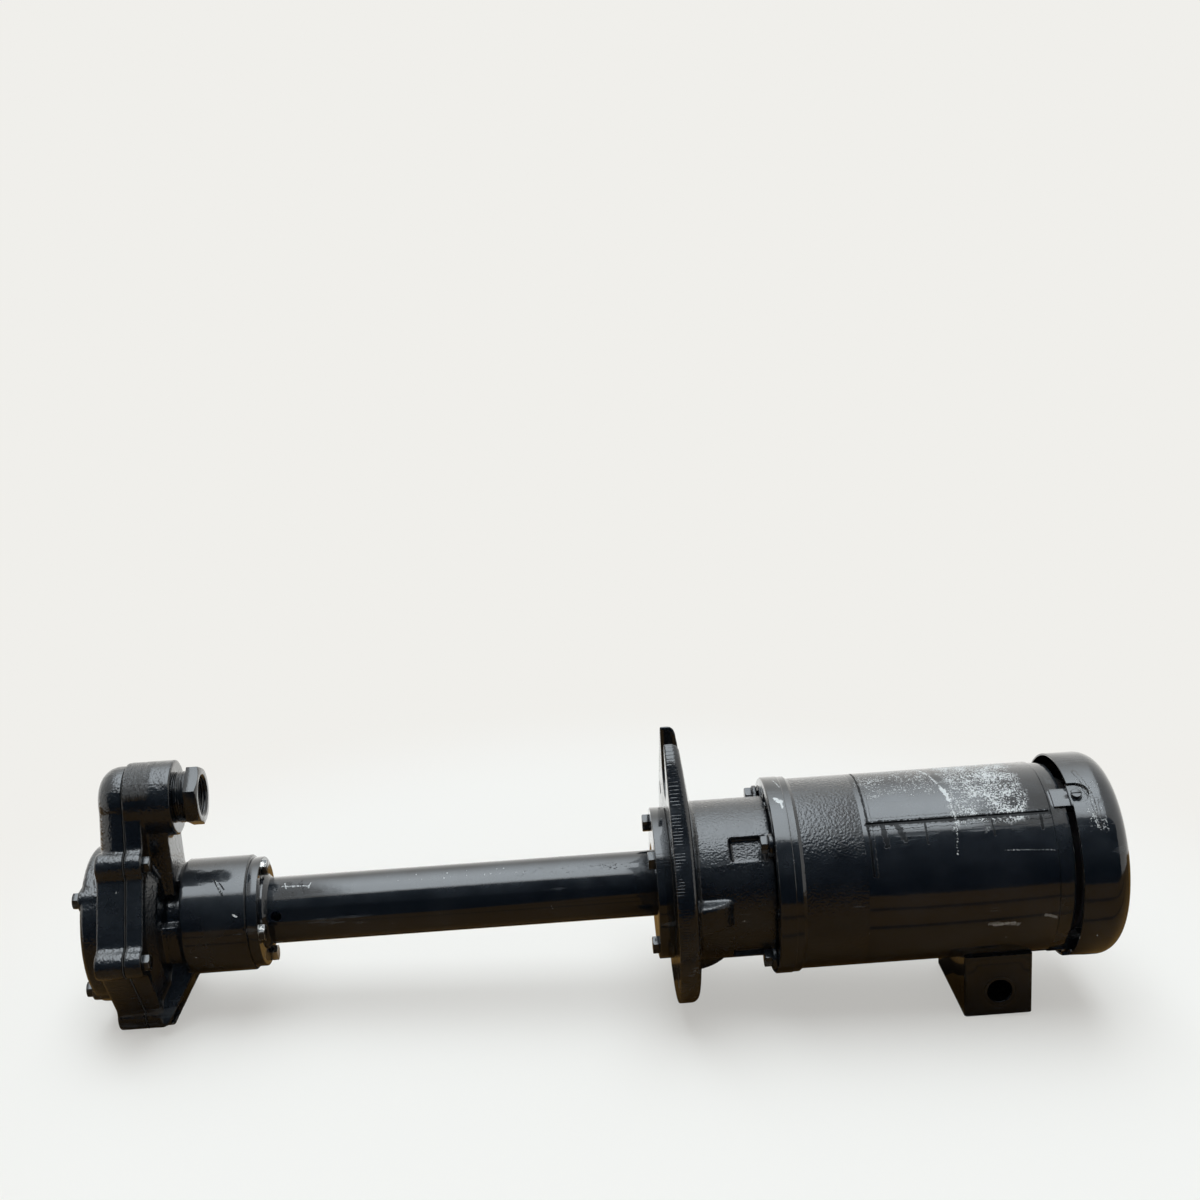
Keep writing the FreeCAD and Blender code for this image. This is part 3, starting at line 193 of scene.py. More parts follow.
# The turn about the shaft, from -Y towards -X in radians, and the parts of the place
def turnAbout(tree, place):
    parts = addNode(tree, "ShaderNodeSeparateXYZ", {0: place}).outputs
    back = [calc(tree, "MULTIPLY", parts[axis], -1.0) for axis in ("X", "Y")]
    return calc(tree, "ARCTAN2", *back), parts


def mixColour(tree, factor, first, second):
    node = addNode(tree, "ShaderNodeMix", data_type="RGBA")
    for name, kind, value in (("Factor", "VALUE", factor), ("A", "RGBA", first), ("B", "RGBA", second)):
        setSocket(tree, [s for s in node.inputs if s.name == name and s.type == kind][0], value)
    return [s for s in node.outputs if s.type == "RGBA"][0]


# Rays that show a background: to the lens, in a reflection and through glass
def seeingRays(tree):
    rays = tree.nodes.new("ShaderNodeLightPath").outputs
    seen = calc(tree, "ADD", rays["Is Camera Ray"], rays["Is Glossy Ray"])
    return calc(tree, "ADD", seen, rays["Is Transmission Ray"], clamp=True)


def newGroup(name, inputs, output):
    tree = bpy.data.node_groups.new(name, "ShaderNodeTree")
    tree.interface.new_socket("Vector", in_out="INPUT", socket_type="NodeSocketVector")
    for label, value in inputs.items():
        kind = "NodeSocketVector" if isinstance(value, tuple) else "NodeSocketFloat"
        tree.interface.new_socket(label, in_out="INPUT", socket_type=kind).default_value = value
    tree.interface.new_socket(output, in_out="OUTPUT", socket_type="NodeSocketFloat")
    return tree, tree.nodes.new("NodeGroupInput").outputs, tree.nodes.new("NodeGroupOutput").inputs[output]


def fillGroup(tree, group, values):
    return addNode(tree, "ShaderNodeGroup", values, node_tree=group).outputs[0]


def newMaterial(name):
    material = bpy.data.materials.new(name)
    material.use_nodes = True
    tree = material.node_tree
    return material, tree, tree.nodes["Principled BSDF"].inputs


def dullMaterial(name, colour, roughness):
    material, tree, shader = newMaterial(name)
    shader["Base Color"].default_value = colour
    shader["Roughness"].default_value = roughness
    shader["Specular IOR Level"].default_value = 0.0
    return material, tree


# Pebbled skin of a painted casting
grainShape = {
    "coarseShare": 0.6,
    "pebbleShare": 0.8,
    "pebbleDensity": 0.9,
    "fineShare": 0.175,
    "fineDensity": 4.5,
}


def makeGrainGroup(shape):
    tree, given, result = newGroup("castGrain", {"Size": 0.003}, "Height")
    place = given["Vector"]
    scale = calc(tree, "DIVIDE", 1.0, given["Size"])
    coarse = cloudNoise(tree, place, scale, 2.0, 0.55)
    density = calc(tree, "MULTIPLY", scale, shape["pebbleDensity"])
    pebbles = addNode(tree, "ShaderNodeTexVoronoi", {"Vector": place, "Scale": density, "Smoothness": 0.9},
                      feature="SMOOTH_F1").outputs["Distance"]
    fine = cloudNoise(tree, place, calc(tree, "MULTIPLY", scale, shape["fineDensity"]), 3.0)
    body = calc(tree, "SUBTRACT", calc(tree, "MULTIPLY", coarse, shape["coarseShare"]),
                calc(tree, "MULTIPLY", pebbles, shape["pebbleShare"]))
    tree.links.new(calc(tree, "MULTIPLY_ADD", fine, shape["fineShare"], body), result)
    return tree


# Chips in the paint, more of them on worn edges
chipShape = {
    "patchDensity": 0.13,
    "patchShare": 0.45,
    "edgeShare": 0.14,
    "startLevel": 0.84,
    "sharpness": 40.0,
}


def makeChipGroup(shape):
    tree, given, result = newGroup("paintChips", {"Size": 0.006, "Amount": 0.1, "Edge": 0.0}, "Mask")
    scale = calc(tree, "DIVIDE", 1.0, given["Size"])
    spots = cloudNoise(tree, given["Vector"], scale, 5.0, 0.62)
    patches = cloudNoise(tree, given["Vector"], calc(tree, "MULTIPLY", scale, shape["patchDensity"]), 1.0)
    level = calc(tree, "ADD", spots, centred(tree, patches, shape["patchShare"]))
    level = calc(tree, "MULTIPLY_ADD", given["Edge"], shape["edgeShare"], level)
    start = calc(tree, "SUBTRACT", shape["startLevel"], given["Amount"])
    tree.links.new(cutAbove(tree, level, start, shape["sharpness"]), result)
    return tree


# Fine scratches along the shaft, gathered in patches
scratchShape = {
    "stretch": (1, 1, 0.06),
    "density": 60.0,
    "patchDensity": 28.0,
    "patchShare": 0.5,
    "startLevel": 1.05,
    "sharpness": 18.0,
}


def makeScratchGroup(shape):
    tree, given, result = newGroup("scratches", {"Amount": 0.1}, "Mask")
    lines = cloudNoise(tree, stretched(tree, given["Vector"], shape["stretch"]), shape["density"], 4.0, 0.7)
    patches = cloudNoise(tree, given["Vector"], shape["patchDensity"], 2.0)
    level = calc(tree, "MULTIPLY_ADD", patches, shape["patchShare"], lines)
    start = calc(tree, "SUBTRACT", shape["startLevel"], given["Amount"])
    tree.links.new(cutAbove(tree, level, start, shape["sharpness"]), result)
    return tree


# Dust and painted sheen on what faces up while the pump lies, which is -X: the lighter bluish grey there is
# partly settled dust and partly a painted sheen
dustShape = {
    "upwards": (-1.0, 0.0, 0.0),
    "slope": (0.15, 0.9),
    "density": 45.0,
    "thinnest": 0.35,
}


def makeDustAndSheenGroup(shape):
    tree, given, result = newGroup("dustAndSheen", {"Amount": 0.5}, "Mask")
    normal = tree.nodes.new("ShaderNodeNewGeometry").outputs["Normal"]
    facing = addNode(tree, "ShaderNodeVectorMath", {0: normal, 1: shape["upwards"]},
                     operation="DOT_PRODUCT").outputs["Value"]
    lying = remap(tree, facing, *shape["slope"])
    broken = remap(tree, cloudNoise(tree, given["Vector"], shape["density"], 5.0, 0.65), 0.3, 0.7,
                   shape["thinnest"], 1.0)
    tree.links.new(calc(tree, "MULTIPLY", calc(tree, "MULTIPLY", lying, broken), given["Amount"]), result)
    return tree


# A mark along a line on a turned piece, from one turn and height to another
streakShape = {
    "wanderDensity": 320.0,
    "wander": 2.6,                   # in widths of the mark
    "rim": (0.75, 1.0),
    "speckDensity": 900.0,
    "sharpness": 14.0,
}


def makeStreakGroup(shape):
    tree, given, result = newGroup("streakMark", {
        "Radius": 0.08, "From Turn": 0.0, "From Height": 0.0, "To Turn": 10.0, "To Height": 0.0,
        "Width": 0.001, "Broken": 0.4}, "Mask")
    turn, parts = turnAbout(tree, given["Vector"])
    toLength = calc(tree, "MULTIPLY", given["Radius"], math.pi / 180)
    startAcross = calc(tree, "MULTIPLY", given["From Turn"], toLength)
    runAcross = calc(tree, "SUBTRACT", calc(tree, "MULTIPLY", given["To Turn"], toLength), startAcross)
    runUp = calc(tree, "SUBTRACT", given["To Height"], given["From Height"])
    across = calc(tree, "SUBTRACT", calc(tree, "MULTIPLY", turn, given["Radius"]), startAcross)
    above = calc(tree, "SUBTRACT", parts["Z"], given["From Height"])
    length = calc(tree, "MULTIPLY_ADD", runAcross, runAcross, calc(tree, "MULTIPLY", runUp, runUp))
    reach = calc(tree, "MULTIPLY_ADD", across, runAcross, calc(tree, "MULTIPLY", above, runUp))
    share = calc(tree, "DIVIDE", reach, length, clamp=True)
    offAcross = calc(tree, "SUBTRACT", across, calc(tree, "MULTIPLY", share, runAcross))
    offUp = calc(tree, "SUBTRACT", above, calc(tree, "MULTIPLY", share, runUp))
    square = calc(tree, "MULTIPLY_ADD", offAcross, offAcross, calc(tree, "MULTIPLY", offUp, offUp))
    away = calc(tree, "DIVIDE", calc(tree, "SQRT", square), given["Width"])
    wander = cloudNoise(tree, given["Vector"], shape["wanderDensity"], 3.0, 0.65)
    away = calc(tree, "ADD", away, centred(tree, wander, shape["wander"]))
    inside = remap(tree, away, *shape["rim"], 1.0, 0.0)
    specks = cloudNoise(tree, given["Vector"], shape["speckDensity"], 2.0)
    kept = cutAbove(tree, specks, given["Broken"], shape["sharpness"])
    tree.links.new(calc(tree, "MULTIPLY", inside, kept), result)
    return tree


# Loose flakes inside a patch on a turned piece: larger drifts and small specks
flakeShape = {
    "edgeDensity": 90.0,
    "edgeWander": 0.7,
    "rim": (0.82, 1.02),
    "driftDensity": 70.0,
    "drift": 0.3,
    "startLevel": 0.85,
    "flakeSharpness": 30.0,
    "speckDensity": 0.7,
    "speckStart": 0.55,
    "speckReach": 0.8,
    "speckSharpness": 9.0,
}


def makeFlakeGroup(shape):
    tree, given, result = newGroup("flakedPatch", {
        "Turn": 75.0, "Half Turn": 20.0, "Height": 0.28, "Half Height": 0.04, "Size": 0.002,
        "Amount": 0.3}, "Mask")
    place = given["Vector"]
    turn, parts = turnAbout(tree, place)
    turn = calc(tree, "MULTIPLY", turn, 180 / math.pi)
    across = calc(tree, "ABSOLUTE", calc(tree, "SUBTRACT", turn, given["Turn"]))
    above = calc(tree, "ABSOLUTE", calc(tree, "SUBTRACT", parts["Z"], given["Height"]))
    reach = calc(tree, "MAXIMUM", calc(tree, "DIVIDE", across, given["Half Turn"]),
                 calc(tree, "DIVIDE", above, given["Half Height"]))
    edge = cloudNoise(tree, place, shape["edgeDensity"], 4.0)
    reach = calc(tree, "ADD", reach, centred(tree, edge, shape["edgeWander"]))
    inside = remap(tree, reach, *shape["rim"], 1.0, 0.0)
    scale = calc(tree, "DIVIDE", 1.0, given["Size"])
    drift = centred(tree, cloudNoise(tree, place, shape["driftDensity"], 2.0), shape["drift"])
    level = calc(tree, "ADD", cloudNoise(tree, place, scale, 4.0, 0.7), drift)
    start = calc(tree, "SUBTRACT", shape["startLevel"], given["Amount"])
    large = cutAbove(tree, level, start, shape["flakeSharpness"])
    density = calc(tree, "MULTIPLY", scale, shape["speckDensity"])
    cells = addNode(tree, "ShaderNodeTexVoronoi", {"Vector": place, "Scale": density}, feature="F1").outputs
    own = addNode(tree, "ShaderNodeSeparateColor", {0: cells["Color"]}).outputs[0]
    speckSize = calc(tree, "SUBTRACT", own, shape["speckStart"])
    speckSize = calc(tree, "MULTIPLY_ADD", speckSize, shape["speckReach"], drift)
    specks = cutAbove(tree, speckSize, cells["Distance"], shape["speckSharpness"])
    tree.links.new(calc(tree, "MULTIPLY", calc(tree, "MAXIMUM", large, specks), inside), result)
    return tree


# Fine tool marks, drawn out along the directions that are stretched least
def makeToolGroup():
    tree, given, result = newGroup("toolMarks", {"Stretch": (1, 1, 1), "Pitch": 0.001}, "Height")
    bent = stretched(tree, given["Vector"], given["Stretch"])
    tree.links.new(cloudNoise(tree, bent, calc(tree, "DIVIDE", 1.0, given["Pitch"]), 3.0, 0.6), result)
    return tree


# Short evenly set grooves across the edge of a turned piece, some cut deeper than others
tickShape = {
    "flank": (0.1, 0.95),
    "unevenDensity": 75.0,
    "shallowest": 0.15,
}


def makeTickGroup(shape):
    tree, given, result = newGroup("edgeTicks", {"Radius": 0.1, "Pitch": 0.0026}, "Height")
    parts = addNode(tree, "ShaderNodeSeparateXYZ", {0: given["Vector"]}).outputs
    turn = calc(tree, "ARCTAN2", parts["X"], parts["Y"])
    rimLength = calc(tree, "MULTIPLY", given["Radius"], 2 * math.pi)
    count = calc(tree, "ROUND", calc(tree, "DIVIDE", rimLength, given["Pitch"]))
    groove = remap(tree, calc(tree, "SINE", calc(tree, "MULTIPLY", turn, count)), *shape["flank"])
    uneven = remap(tree, cloudNoise(tree, given["Vector"], shape["unevenDensity"], 3.0), 0.4, 0.6,
                   shape["shallowest"], 1.0)
    tree.links.new(calc(tree, "MULTIPLY", groove, uneven), result)
    return tree


castGrain = makeGrainGroup(grainShape)
paintChips = makeChipGroup(chipShape)
scratches = makeScratchGroup(scratchShape)
dustAndSheen = makeDustAndSheenGroup(dustShape)
streakMark = makeStreakGroup(streakShape)
flakedPatch = makeFlakeGroup(flakeShape)
toolMarks = makeToolGroup()
edgeTicks = makeTickGroup(tickShape)
print("effects made")


# Black gloss paint, over a casting or over smooth steel
paintBase = {
    "colour": (0.0024, 0.0034, 0.0048, 1),
    "faded": (0.0062, 0.0078, 0.0100, 1),
    "fadeDensity": 22.0,
    # lighter bluish grey on up-facing faces: settled dust, and also a painted sheen that brightens the tops
    "dustColour": (0.085, 0.098, 0.112, 1),
    "scratchColour": (0.16, 0.17, 0.18, 1),
    "scratchShare": 0.12,
    "smear": (-0.05, 0.08),          # roughness under and over the paint's own
    "dustRoughness": 0.2,
    "lostRoughness": 0.2,
    "scratchRoughness": 0.12,
    "coatWeight": 1.0,
    "coatRoughness": 0.08,
    "underGloss": 0.2,               # the colour coat itself is dull, the clear coat over it shines
    "rippleDensity": 130.0,
    "lostDepth": 0.12 * mm,
    "scratchDepth": 0.03 * mm,
}
paintLook = {
    "grainSize": 2.0 * mm,
    "grainHeight": 0.0,
    "grainZones": (),
    "tools": (),
    "ridges": (),
    "ripple": 0.05 * mm,
    "chips": 0.06,
    "chipSize": 5 * mm,
    "chipColour": (0.30, 0.30, 0.29, 1),
    "shinyChips": False,
    "scratches": 0.16,
    "dust": 0.25,
    "marks": (),
}
markColours = {
    "bare": (0.66, 0.67, 0.66, 1),
    "scuff": (0.22, 0.20, 0.17, 1),
    # near black: paint runs and dark chips, and also painted shade in the shell's seam and at its joint with
    # the bell
    "runAndShade": (0.0025, 0.003, 0.004, 1),
}


def markMask(tree, place, mark):
    return fillGroup(tree, mark["group"], {"Vector": place, **mark["values"]})


def zoneMask(tree, place, zone):
    parts = addNode(tree, "ShaderNodeSeparateXYZ", {0: place}).outputs
    if zone["by"] == "height":
        value = parts["Z"]
    elif zone["by"] == "across":
        value = parts["X"]
    else:
        square = calc(tree, "MULTIPLY", parts["Y"], parts["Y"])
        value = calc(tree, "SQRT", calc(tree, "MULTIPLY_ADD", parts["X"], parts["X"], square))
    return remap(tree, value, *zone["fade"], *zone.get("to", (0.0, 1.0)))


def zonedDepth(tree, place, depth, zones):
    for zone in zones:
        depth = calc(tree, "MULTIPLY", zoneMask(tree, place, zone), depth)
    return depth


def surfaceHeight(tree, place, look):
    height = calc(tree, "MULTIPLY", cloudNoise(tree, place, paintBase["rippleDensity"], 2.0), look["ripple"])
    if look["grainHeight"]:
        grain = fillGroup(tree, castGrain, {"Vector": place, "Size": look["grainSize"]})
        depth = zonedDepth(tree, place, look["grainHeight"], look["grainZones"])
        height = calc(tree, "MULTIPLY_ADD", grain, depth, height)
    for tool in look["tools"]:
        lines = fillGroup(tree, tool["group"], {"Vector": place, **tool["values"]})
        depth = zonedDepth(tree, place, tool["depth"], tool["zones"])
        height = calc(tree, "MULTIPLY_ADD", lines, depth, height)
    for ridge in look["ridges"]:
        height = calc(tree, "MULTIPLY_ADD", markMask(tree, place, ridge), ridge["share"], height)
    return height


def makePaint(name, roughness, **own):
    look = {**paintLook, **own}
    base = paintBase
    material, tree, shader = newMaterial(name)
    place = tree.nodes.new("ShaderNodeTexCoord").outputs["Object"]
    edge = addNode(tree, "ShaderNodeAttribute", attribute_name="edgeWear").outputs["Fac"]
    chipMask = fillGroup(tree, paintChips, {"Vector": place, "Size": look["chipSize"], "Amount": look["chips"],
                                            "Edge": edge})
    scratchMask = fillGroup(tree, scratches, {"Vector": place, "Amount": look["scratches"]})
    dustMask = fillGroup(tree, dustAndSheen, {"Vector": place, "Amount": look["dust"]})
    clouds = cloudNoise(tree, place, base["fadeDensity"], 4.0, 0.6)
    colour = mixColour(tree, remap(tree, clouds, 0.35, 0.75), base["colour"], base["faded"])
    # up-facing faces turn a lighter bluish grey: settled dust, and also a painted sheen
    colour = mixColour(tree, dustMask, colour, base["dustColour"])
    scratchShare = calc(tree, "MULTIPLY", scratchMask, base["scratchShare"])
    colour = mixColour(tree, scratchShare, colour, base["scratchColour"])
    colour = mixColour(tree, chipMask, colour, look["chipColour"])
    lost = chipMask
    for mark in look["marks"]:
        mask = markMask(tree, place, mark)
        if mark["share"] is not None:
            mask = calc(tree, "MULTIPLY", mask, mark["share"])
        colour = mixColour(tree, mask, colour, markColours[mark["colour"]])
        lost = calc(tree, "MAXIMUM", lost, mask)
    tree.links.new(colour, shader["Base Color"])
    rough = remap(tree, clouds, 0.3, 0.7, *(roughness + step for step in base["smear"]))
    rough = calc(tree, "MULTIPLY_ADD", dustMask, base["dustRoughness"], rough)
    rough = calc(tree, "MULTIPLY_ADD", lost, base["lostRoughness"], rough)
    rough = calc(tree, "MULTIPLY_ADD", scratchMask, base["scratchRoughness"], rough)
    tree.links.new(rough, shader["Roughness"])
    coat = calc(tree, "MULTIPLY", calc(tree, "SUBTRACT", 1.0, lost), base["coatWeight"])
    tree.links.new(coat, shader["Coat Weight"])
    shader["Coat Roughness"].default_value = base["coatRoughness"]
    shader["Specular IOR Level"].default_value = base["underGloss"]
    if look["shinyChips"]:
        tree.links.new(chipMask, shader["Metallic"])
    height = surfaceHeight(tree, place, look)
    height = calc(tree, "MULTIPLY_ADD", lost, -base["lostDepth"], height)
    height = calc(tree, "MULTIPLY_ADD", scratchMask, -base["scratchDepth"], height)
    bump = addNode(tree, "ShaderNodeBump", {"Height": height, "Strength": 1.0, "Distance": 1.0})
    tree.links.new(bump.outputs["Normal"], shader["Normal"])
    tree.links.new(bump.outputs["Normal"], shader["Coat Normal"])
    return material


# Marks are given by turns in degrees from -Y towards -X, and by heights and widths in millimetres
def streak(radius, fromTurn, fromHeight, toTurn, toHeight, width, broken=0.4, colour="bare", share=None):
    values = {"Radius": radius * mm, "From Turn": fromTurn, "From Height": fromHeight * mm, "To Turn": toTurn,
              "To Height": toHeight * mm, "Width": width * mm, "Broken": broken}
    return {"group": streakMark, "values": values, "colour": colour, "share": share}


def flakes(turn, halfTurn, height, halfHeight, size, amount, colour="bare", share=None):
    values = {"Turn": turn, "Half Turn": halfTurn, "Height": height * mm, "Half Height": halfHeight * mm,
              "Size": size * mm, "Amount": amount}
    return {"group": flakedPatch, "values": values, "colour": colour, "share": share}


# The motor's shell: painted shade along the seam and at its joint with the bell, the worn patch, a long scrape
# across it, runs below the seam and scuffs underneath
shellMarks = [
    flakes(80, 35, 271, 34, 1.5, 0.335),
    flakes(82, 35, 270, 33, 2.6, 0.22),
    flakes(92, 22, 199, 34, 1.6, 0.295, share=0.75),
    # painted shade: a dark line along the seam, where shade falls in its slot
    streak(82.5, 51.0, 165.5, 51.0, 320, 2.5, 0.0, "runAndShade"),
    # painted shade: a dark ring where the shell meets the bell, where shade falls in the groove between them
    streak(82.5, 20, 166.0, 116, 166.0, 1.0, 0.0, "runAndShade"),
    flakes(100, 12, 262, 96, 3.0, 0.17, "scuff", 0.7),
    streak(82.5, 108, 222, 74, 236, 1.1, 0.46),
    streak(82.5, 74, 236, 64, 239, 2.3, 0.32),
    streak(82.5, 64, 239, 51, 240.7, 0.8, 0.42),
    streak(82.5, 49, 240.7, 29, 237, 0.9, 0.56),
    streak(82.5, 52, 178, 37, 180, 2.4, 0.3, "runAndShade", 0.9),
    streak(82.5, 50, 190, 40, 196, 2.8, 0.3, "runAndShade", 0.9),
    streak(82.5, 51, 214, 37, 214, 1.0, 0.2, "runAndShade", 0.9),
    streak(82.5, 51, 270, 39, 271, 0.9, 0.2, "runAndShade", 0.9),
    streak(82.5, 52, 312, 41, 312, 1.3, 0.2, "runAndShade", 0.9),
    streak(82.5, 30, 278, 28, 322, 0.6, 0.57, share=0.7),
    streak(82.5, -15.0, 263, -16.6, 287, 1.9, 0.33, "scuff", 0.4),
    streak(82.5, -16.4, 266, -15.2, 284, 1.1, 0.30, "scuff", 0.5),
    streak(82.5, -11.0, 309, -13.5, 318, 1.5, 0.33, "scuff", 0.5),
]
seamLip = [
    streak(82.5, 53.8, 165.5, 53.8, 320, 1.6, 0.0, share=0.7 * mm),
    streak(82.5, 47.9, 166, 47.9, 320, 1.6, 0.0, share=0.8 * mm),
    streak(82.5, 20, 168.4, 116, 168.4, 1.5, 0.0, share=0.5 * mm),
]
ringMarks = [
    streak(85.2, 73, 93.2, 70.0, 96.6, 2.6, 0.16),
    streak(85.2, 70, 97.0, 66, 97.2, 1.1, 0.22),
    streak(85.2, 96, 95, 84, 99, 0.6, 0.5),
]
neckMarks = [
    streak(49.5, 62, -389.5, 44, -381, 0.9, 0.35, "runAndShade"),
    streak(49.5, 57, -384, 50, -380, 0.7, 0.3, "runAndShade"),
    streak(49.5, 60, -387.5, 47, -382.5, 0.5, 0.46),
    streak(49.5, 24, -372, 22, -369, 0.8, 0.4),
]
tubeMarks = [
    flakes(66, 18, -326, 16, 2.6, 0.24, "runAndShade"),
    streak(28.6, 76, -333.0, 64, -331.5, 0.7, 0.3, share=0.7),
    streak(28.6, 62, -312.0, 74, -310.5, 0.6, 0.3, share=0.7),
    flakes(66, 10, -190, 60, 1.6, 0.16, share=0.6),
    flakes(62, 8, -80, 50, 1.2, 0.22, "runAndShade"),
    streak(28.6, 69, -335, 66, -312, 0.8, 0.45),
]
coverMarks = [
    flakes(52, 16, 357, 8, 1.2, 0.26),
    flakes(62, 9, 352, 5, 1.0, 0.24),
    streak(88.5, 46, 354, 38, 357, 1.2, 0.5),
]
coverWrinkles = [
    streak(88.5, 76, 350, 60, 356, 2.0, 0.0, share=0.5 * mm),
    streak(88.5, 60, 356, 47, 357, 1.8, 0.1, share=0.6 * mm),
    streak(88.5, 55, 360, 40, 358, 1.6, 0.1, share=0.5 * mm),
]

# The bracket: its flange is smoother towards the rim, and the rim has the cutter's grooves
bracketGrain = [{"by": "radius", "fade": (78 * mm, 92 * mm), "to": (1.0, 0.25)}]
rimGrooves = {
    "group": edgeTicks,
    "values": {"Radius": 104.5 * mm, "Pitch": 2.6 * mm},
    "depth": -0.16 * mm,
    "zones": [{"by": "radius", "fade": (98 * mm, 101 * mm)},
              {"by": "height", "fade": (7 * mm, 11 * mm), "to": (1.0, 0.0)}],
}
castPaint = makePaint("castPaint", 0.24, grainSize=1.7 * mm, grainHeight=0.40 * mm, chips=0.05,
                      grainZones=bracketGrain, tools=[rimGrooves])

# The pump end: the neck is turned smooth, and the discharge arm is dressed with a file
neckGrain = [{"by": "height", "fade": (-421 * mm, -418 * mm), "to": (1.0, 0.06)}]
armGrooves = {
    "group": toolMarks,
    "values": {"Stretch": (0.08, 0.08, 1), "Pitch": 1.3 * mm},
    "depth": 3.4 * mm,
    "zones": [{"by": "across", "fade": (-128 * mm, -122 * mm), "to": (1.0, 0.0)},
              {"by": "height", "fade": (-456 * mm, -454 * mm)},
              {"by": "height", "fade": (-436 * mm, -430 * mm), "to": (1.0, 0.0)}],
}
pumpCastPaint = makePaint("pumpCastPaint", 0.22, grainHeight=0.34 * mm, chips=0.05, marks=neckMarks,
                          grainZones=neckGrain, tools=[armGrooves])

# The drive end bell: its ring against the bracket is turned
bellGrain = [{"by": "height", "fade": (106.5 * mm, 110 * mm), "to": (0.08, 1.0)}]
bellPaint = makePaint("bellPaint", 0.20, grainSize=1.9 * mm, grainHeight=0.44 * mm, chips=0.04, marks=ringMarks,
                      grainZones=bellGrain)

smoothPaint = makePaint("smoothPaint", 0.20, chips=0.04, chipSize=4 * mm)
shellPaint = makePaint("shellPaint", 0.17, chips=0.035, chipSize=4 * mm, marks=shellMarks, ridges=seamLip)
coverPaint = makePaint("coverPaint", 0.17, chips=0.03, chipSize=4 * mm, marks=coverMarks, ripple=0.10 * mm,
                       ridges=coverWrinkles)
tubePaint = makePaint("tubePaint", 0.16, chipSize=3 * mm, scratches=0.2, marks=tubeMarks)
bushingPaint = makePaint("bushingPaint", 0.30, grainSize=1.2 * mm, grainHeight=0.06 * mm, chips=0.03,
                         chipSize=2 * mm, dust=0.1)
boltPaint = makePaint("boltPaint", 0.28, chips=0.17, chipSize=2.5 * mm, scratches=0.24, shinyChips=True)
wornBoltPaint = makePaint("wornBoltPaint", 0.30, chips=0.30, chipSize=9 * mm, scratches=0.24, shinyChips=True,
                          chipColour=(0.70, 0.69, 0.66, 1))


# Bare and inner finishes
plainLook = {
    "metallic": 0.0,
    "grain": 0.0,
    "grainSize": 1.5 * mm,
    "vary": 0.25,
    "stretch": (1, 1, 1),
    "lightest": 0.95,
    "roughnessSpan": (0.8, 1.25),
}


def makePlain(name, colour, roughness, **own):
    look = {**plainLook, **own}
    material, tree, shader = newMaterial(name)
    place = tree.nodes.new("ShaderNodeTexCoord").outputs["Object"]
    cloud = cloudNoise(tree, stretched(tree, place, look["stretch"]), 1 / look["grainSize"], 4.0, 0.6)
    dark = tuple(band * (1 - look["vary"]) for band in colour) + (1,)
    light = tuple(min(band * (1 + look["vary"]), look["lightest"]) for band in colour) + (1,)
    tree.links.new(mixColour(tree, remap(tree, cloud, 0.3, 0.7), dark, light), shader["Base Color"])
    span = [min(roughness * share, 1.0) for share in look["roughnessSpan"]]
    tree.links.new(remap(tree, cloud, 0.3, 0.7, *span), shader["Roughness"])
    shader["Metallic"].default_value = look["metallic"]
    if look["grain"]:
        height = calc(tree, "MULTIPLY", cloud, look["grain"])
        bump = addNode(tree, "ShaderNodeBump", {"Height": height, "Distance": 1.0})
        tree.links.new(bump.outputs["Normal"], shader["Normal"])
    return material


turnedSteel = makePlain("turnedSteel", (0.50, 0.50, 0.51), 0.32, metallic=1.0, grain=0.01 * mm,
                        grainSize=0.6 * mm, stretch=(0.15, 0.15, 1))
bearingSteel = makePlain("bearingSteel", (0.66, 0.66, 0.68), 0.14, metallic=1.0, vary=0.06)
castIron = makePlain("castIron", (0.17, 0.165, 0.16), 0.55, metallic=0.6, grain=0.2 * mm, grainSize=2.5 * mm)
bronze = makePlain("bronze", (0.53, 0.35, 0.15), 0.3, metallic=1.0, vary=0.12)
lamination = makePlain("lamination", (0.25, 0.26, 0.28), 0.42, metallic=0.9, grain=0.05 * mm,
                       grainSize=0.7 * mm, stretch=(0.05, 0.05, 1))
castAluminium = makePlain("castAluminium", (0.52, 0.53, 0.55), 0.4, metallic=0.95, grain=0.08 * mm,
                          grainSize=1.6 * mm)
copperWinding = makePlain("copperWinding", (0.42, 0.15, 0.06), 0.3, metallic=0.8, grain=0.5 * mm,
                          grainSize=1.2 * mm)
gasketFibre = makePlain("gasketFibre", (0.035, 0.033, 0.03), 0.85, grain=0.05 * mm, grainSize=0.8 * mm)
elastomer = makePlain("elastomer", (0.22, 0.035, 0.025), 0.6, grain=0.03 * mm, grainSize=1.2 * mm)
fanPlastic = makePlain("fanPlastic", (0.03, 0.03, 0.032), 0.45, grain=0.03 * mm, grainSize=0.9 * mm)

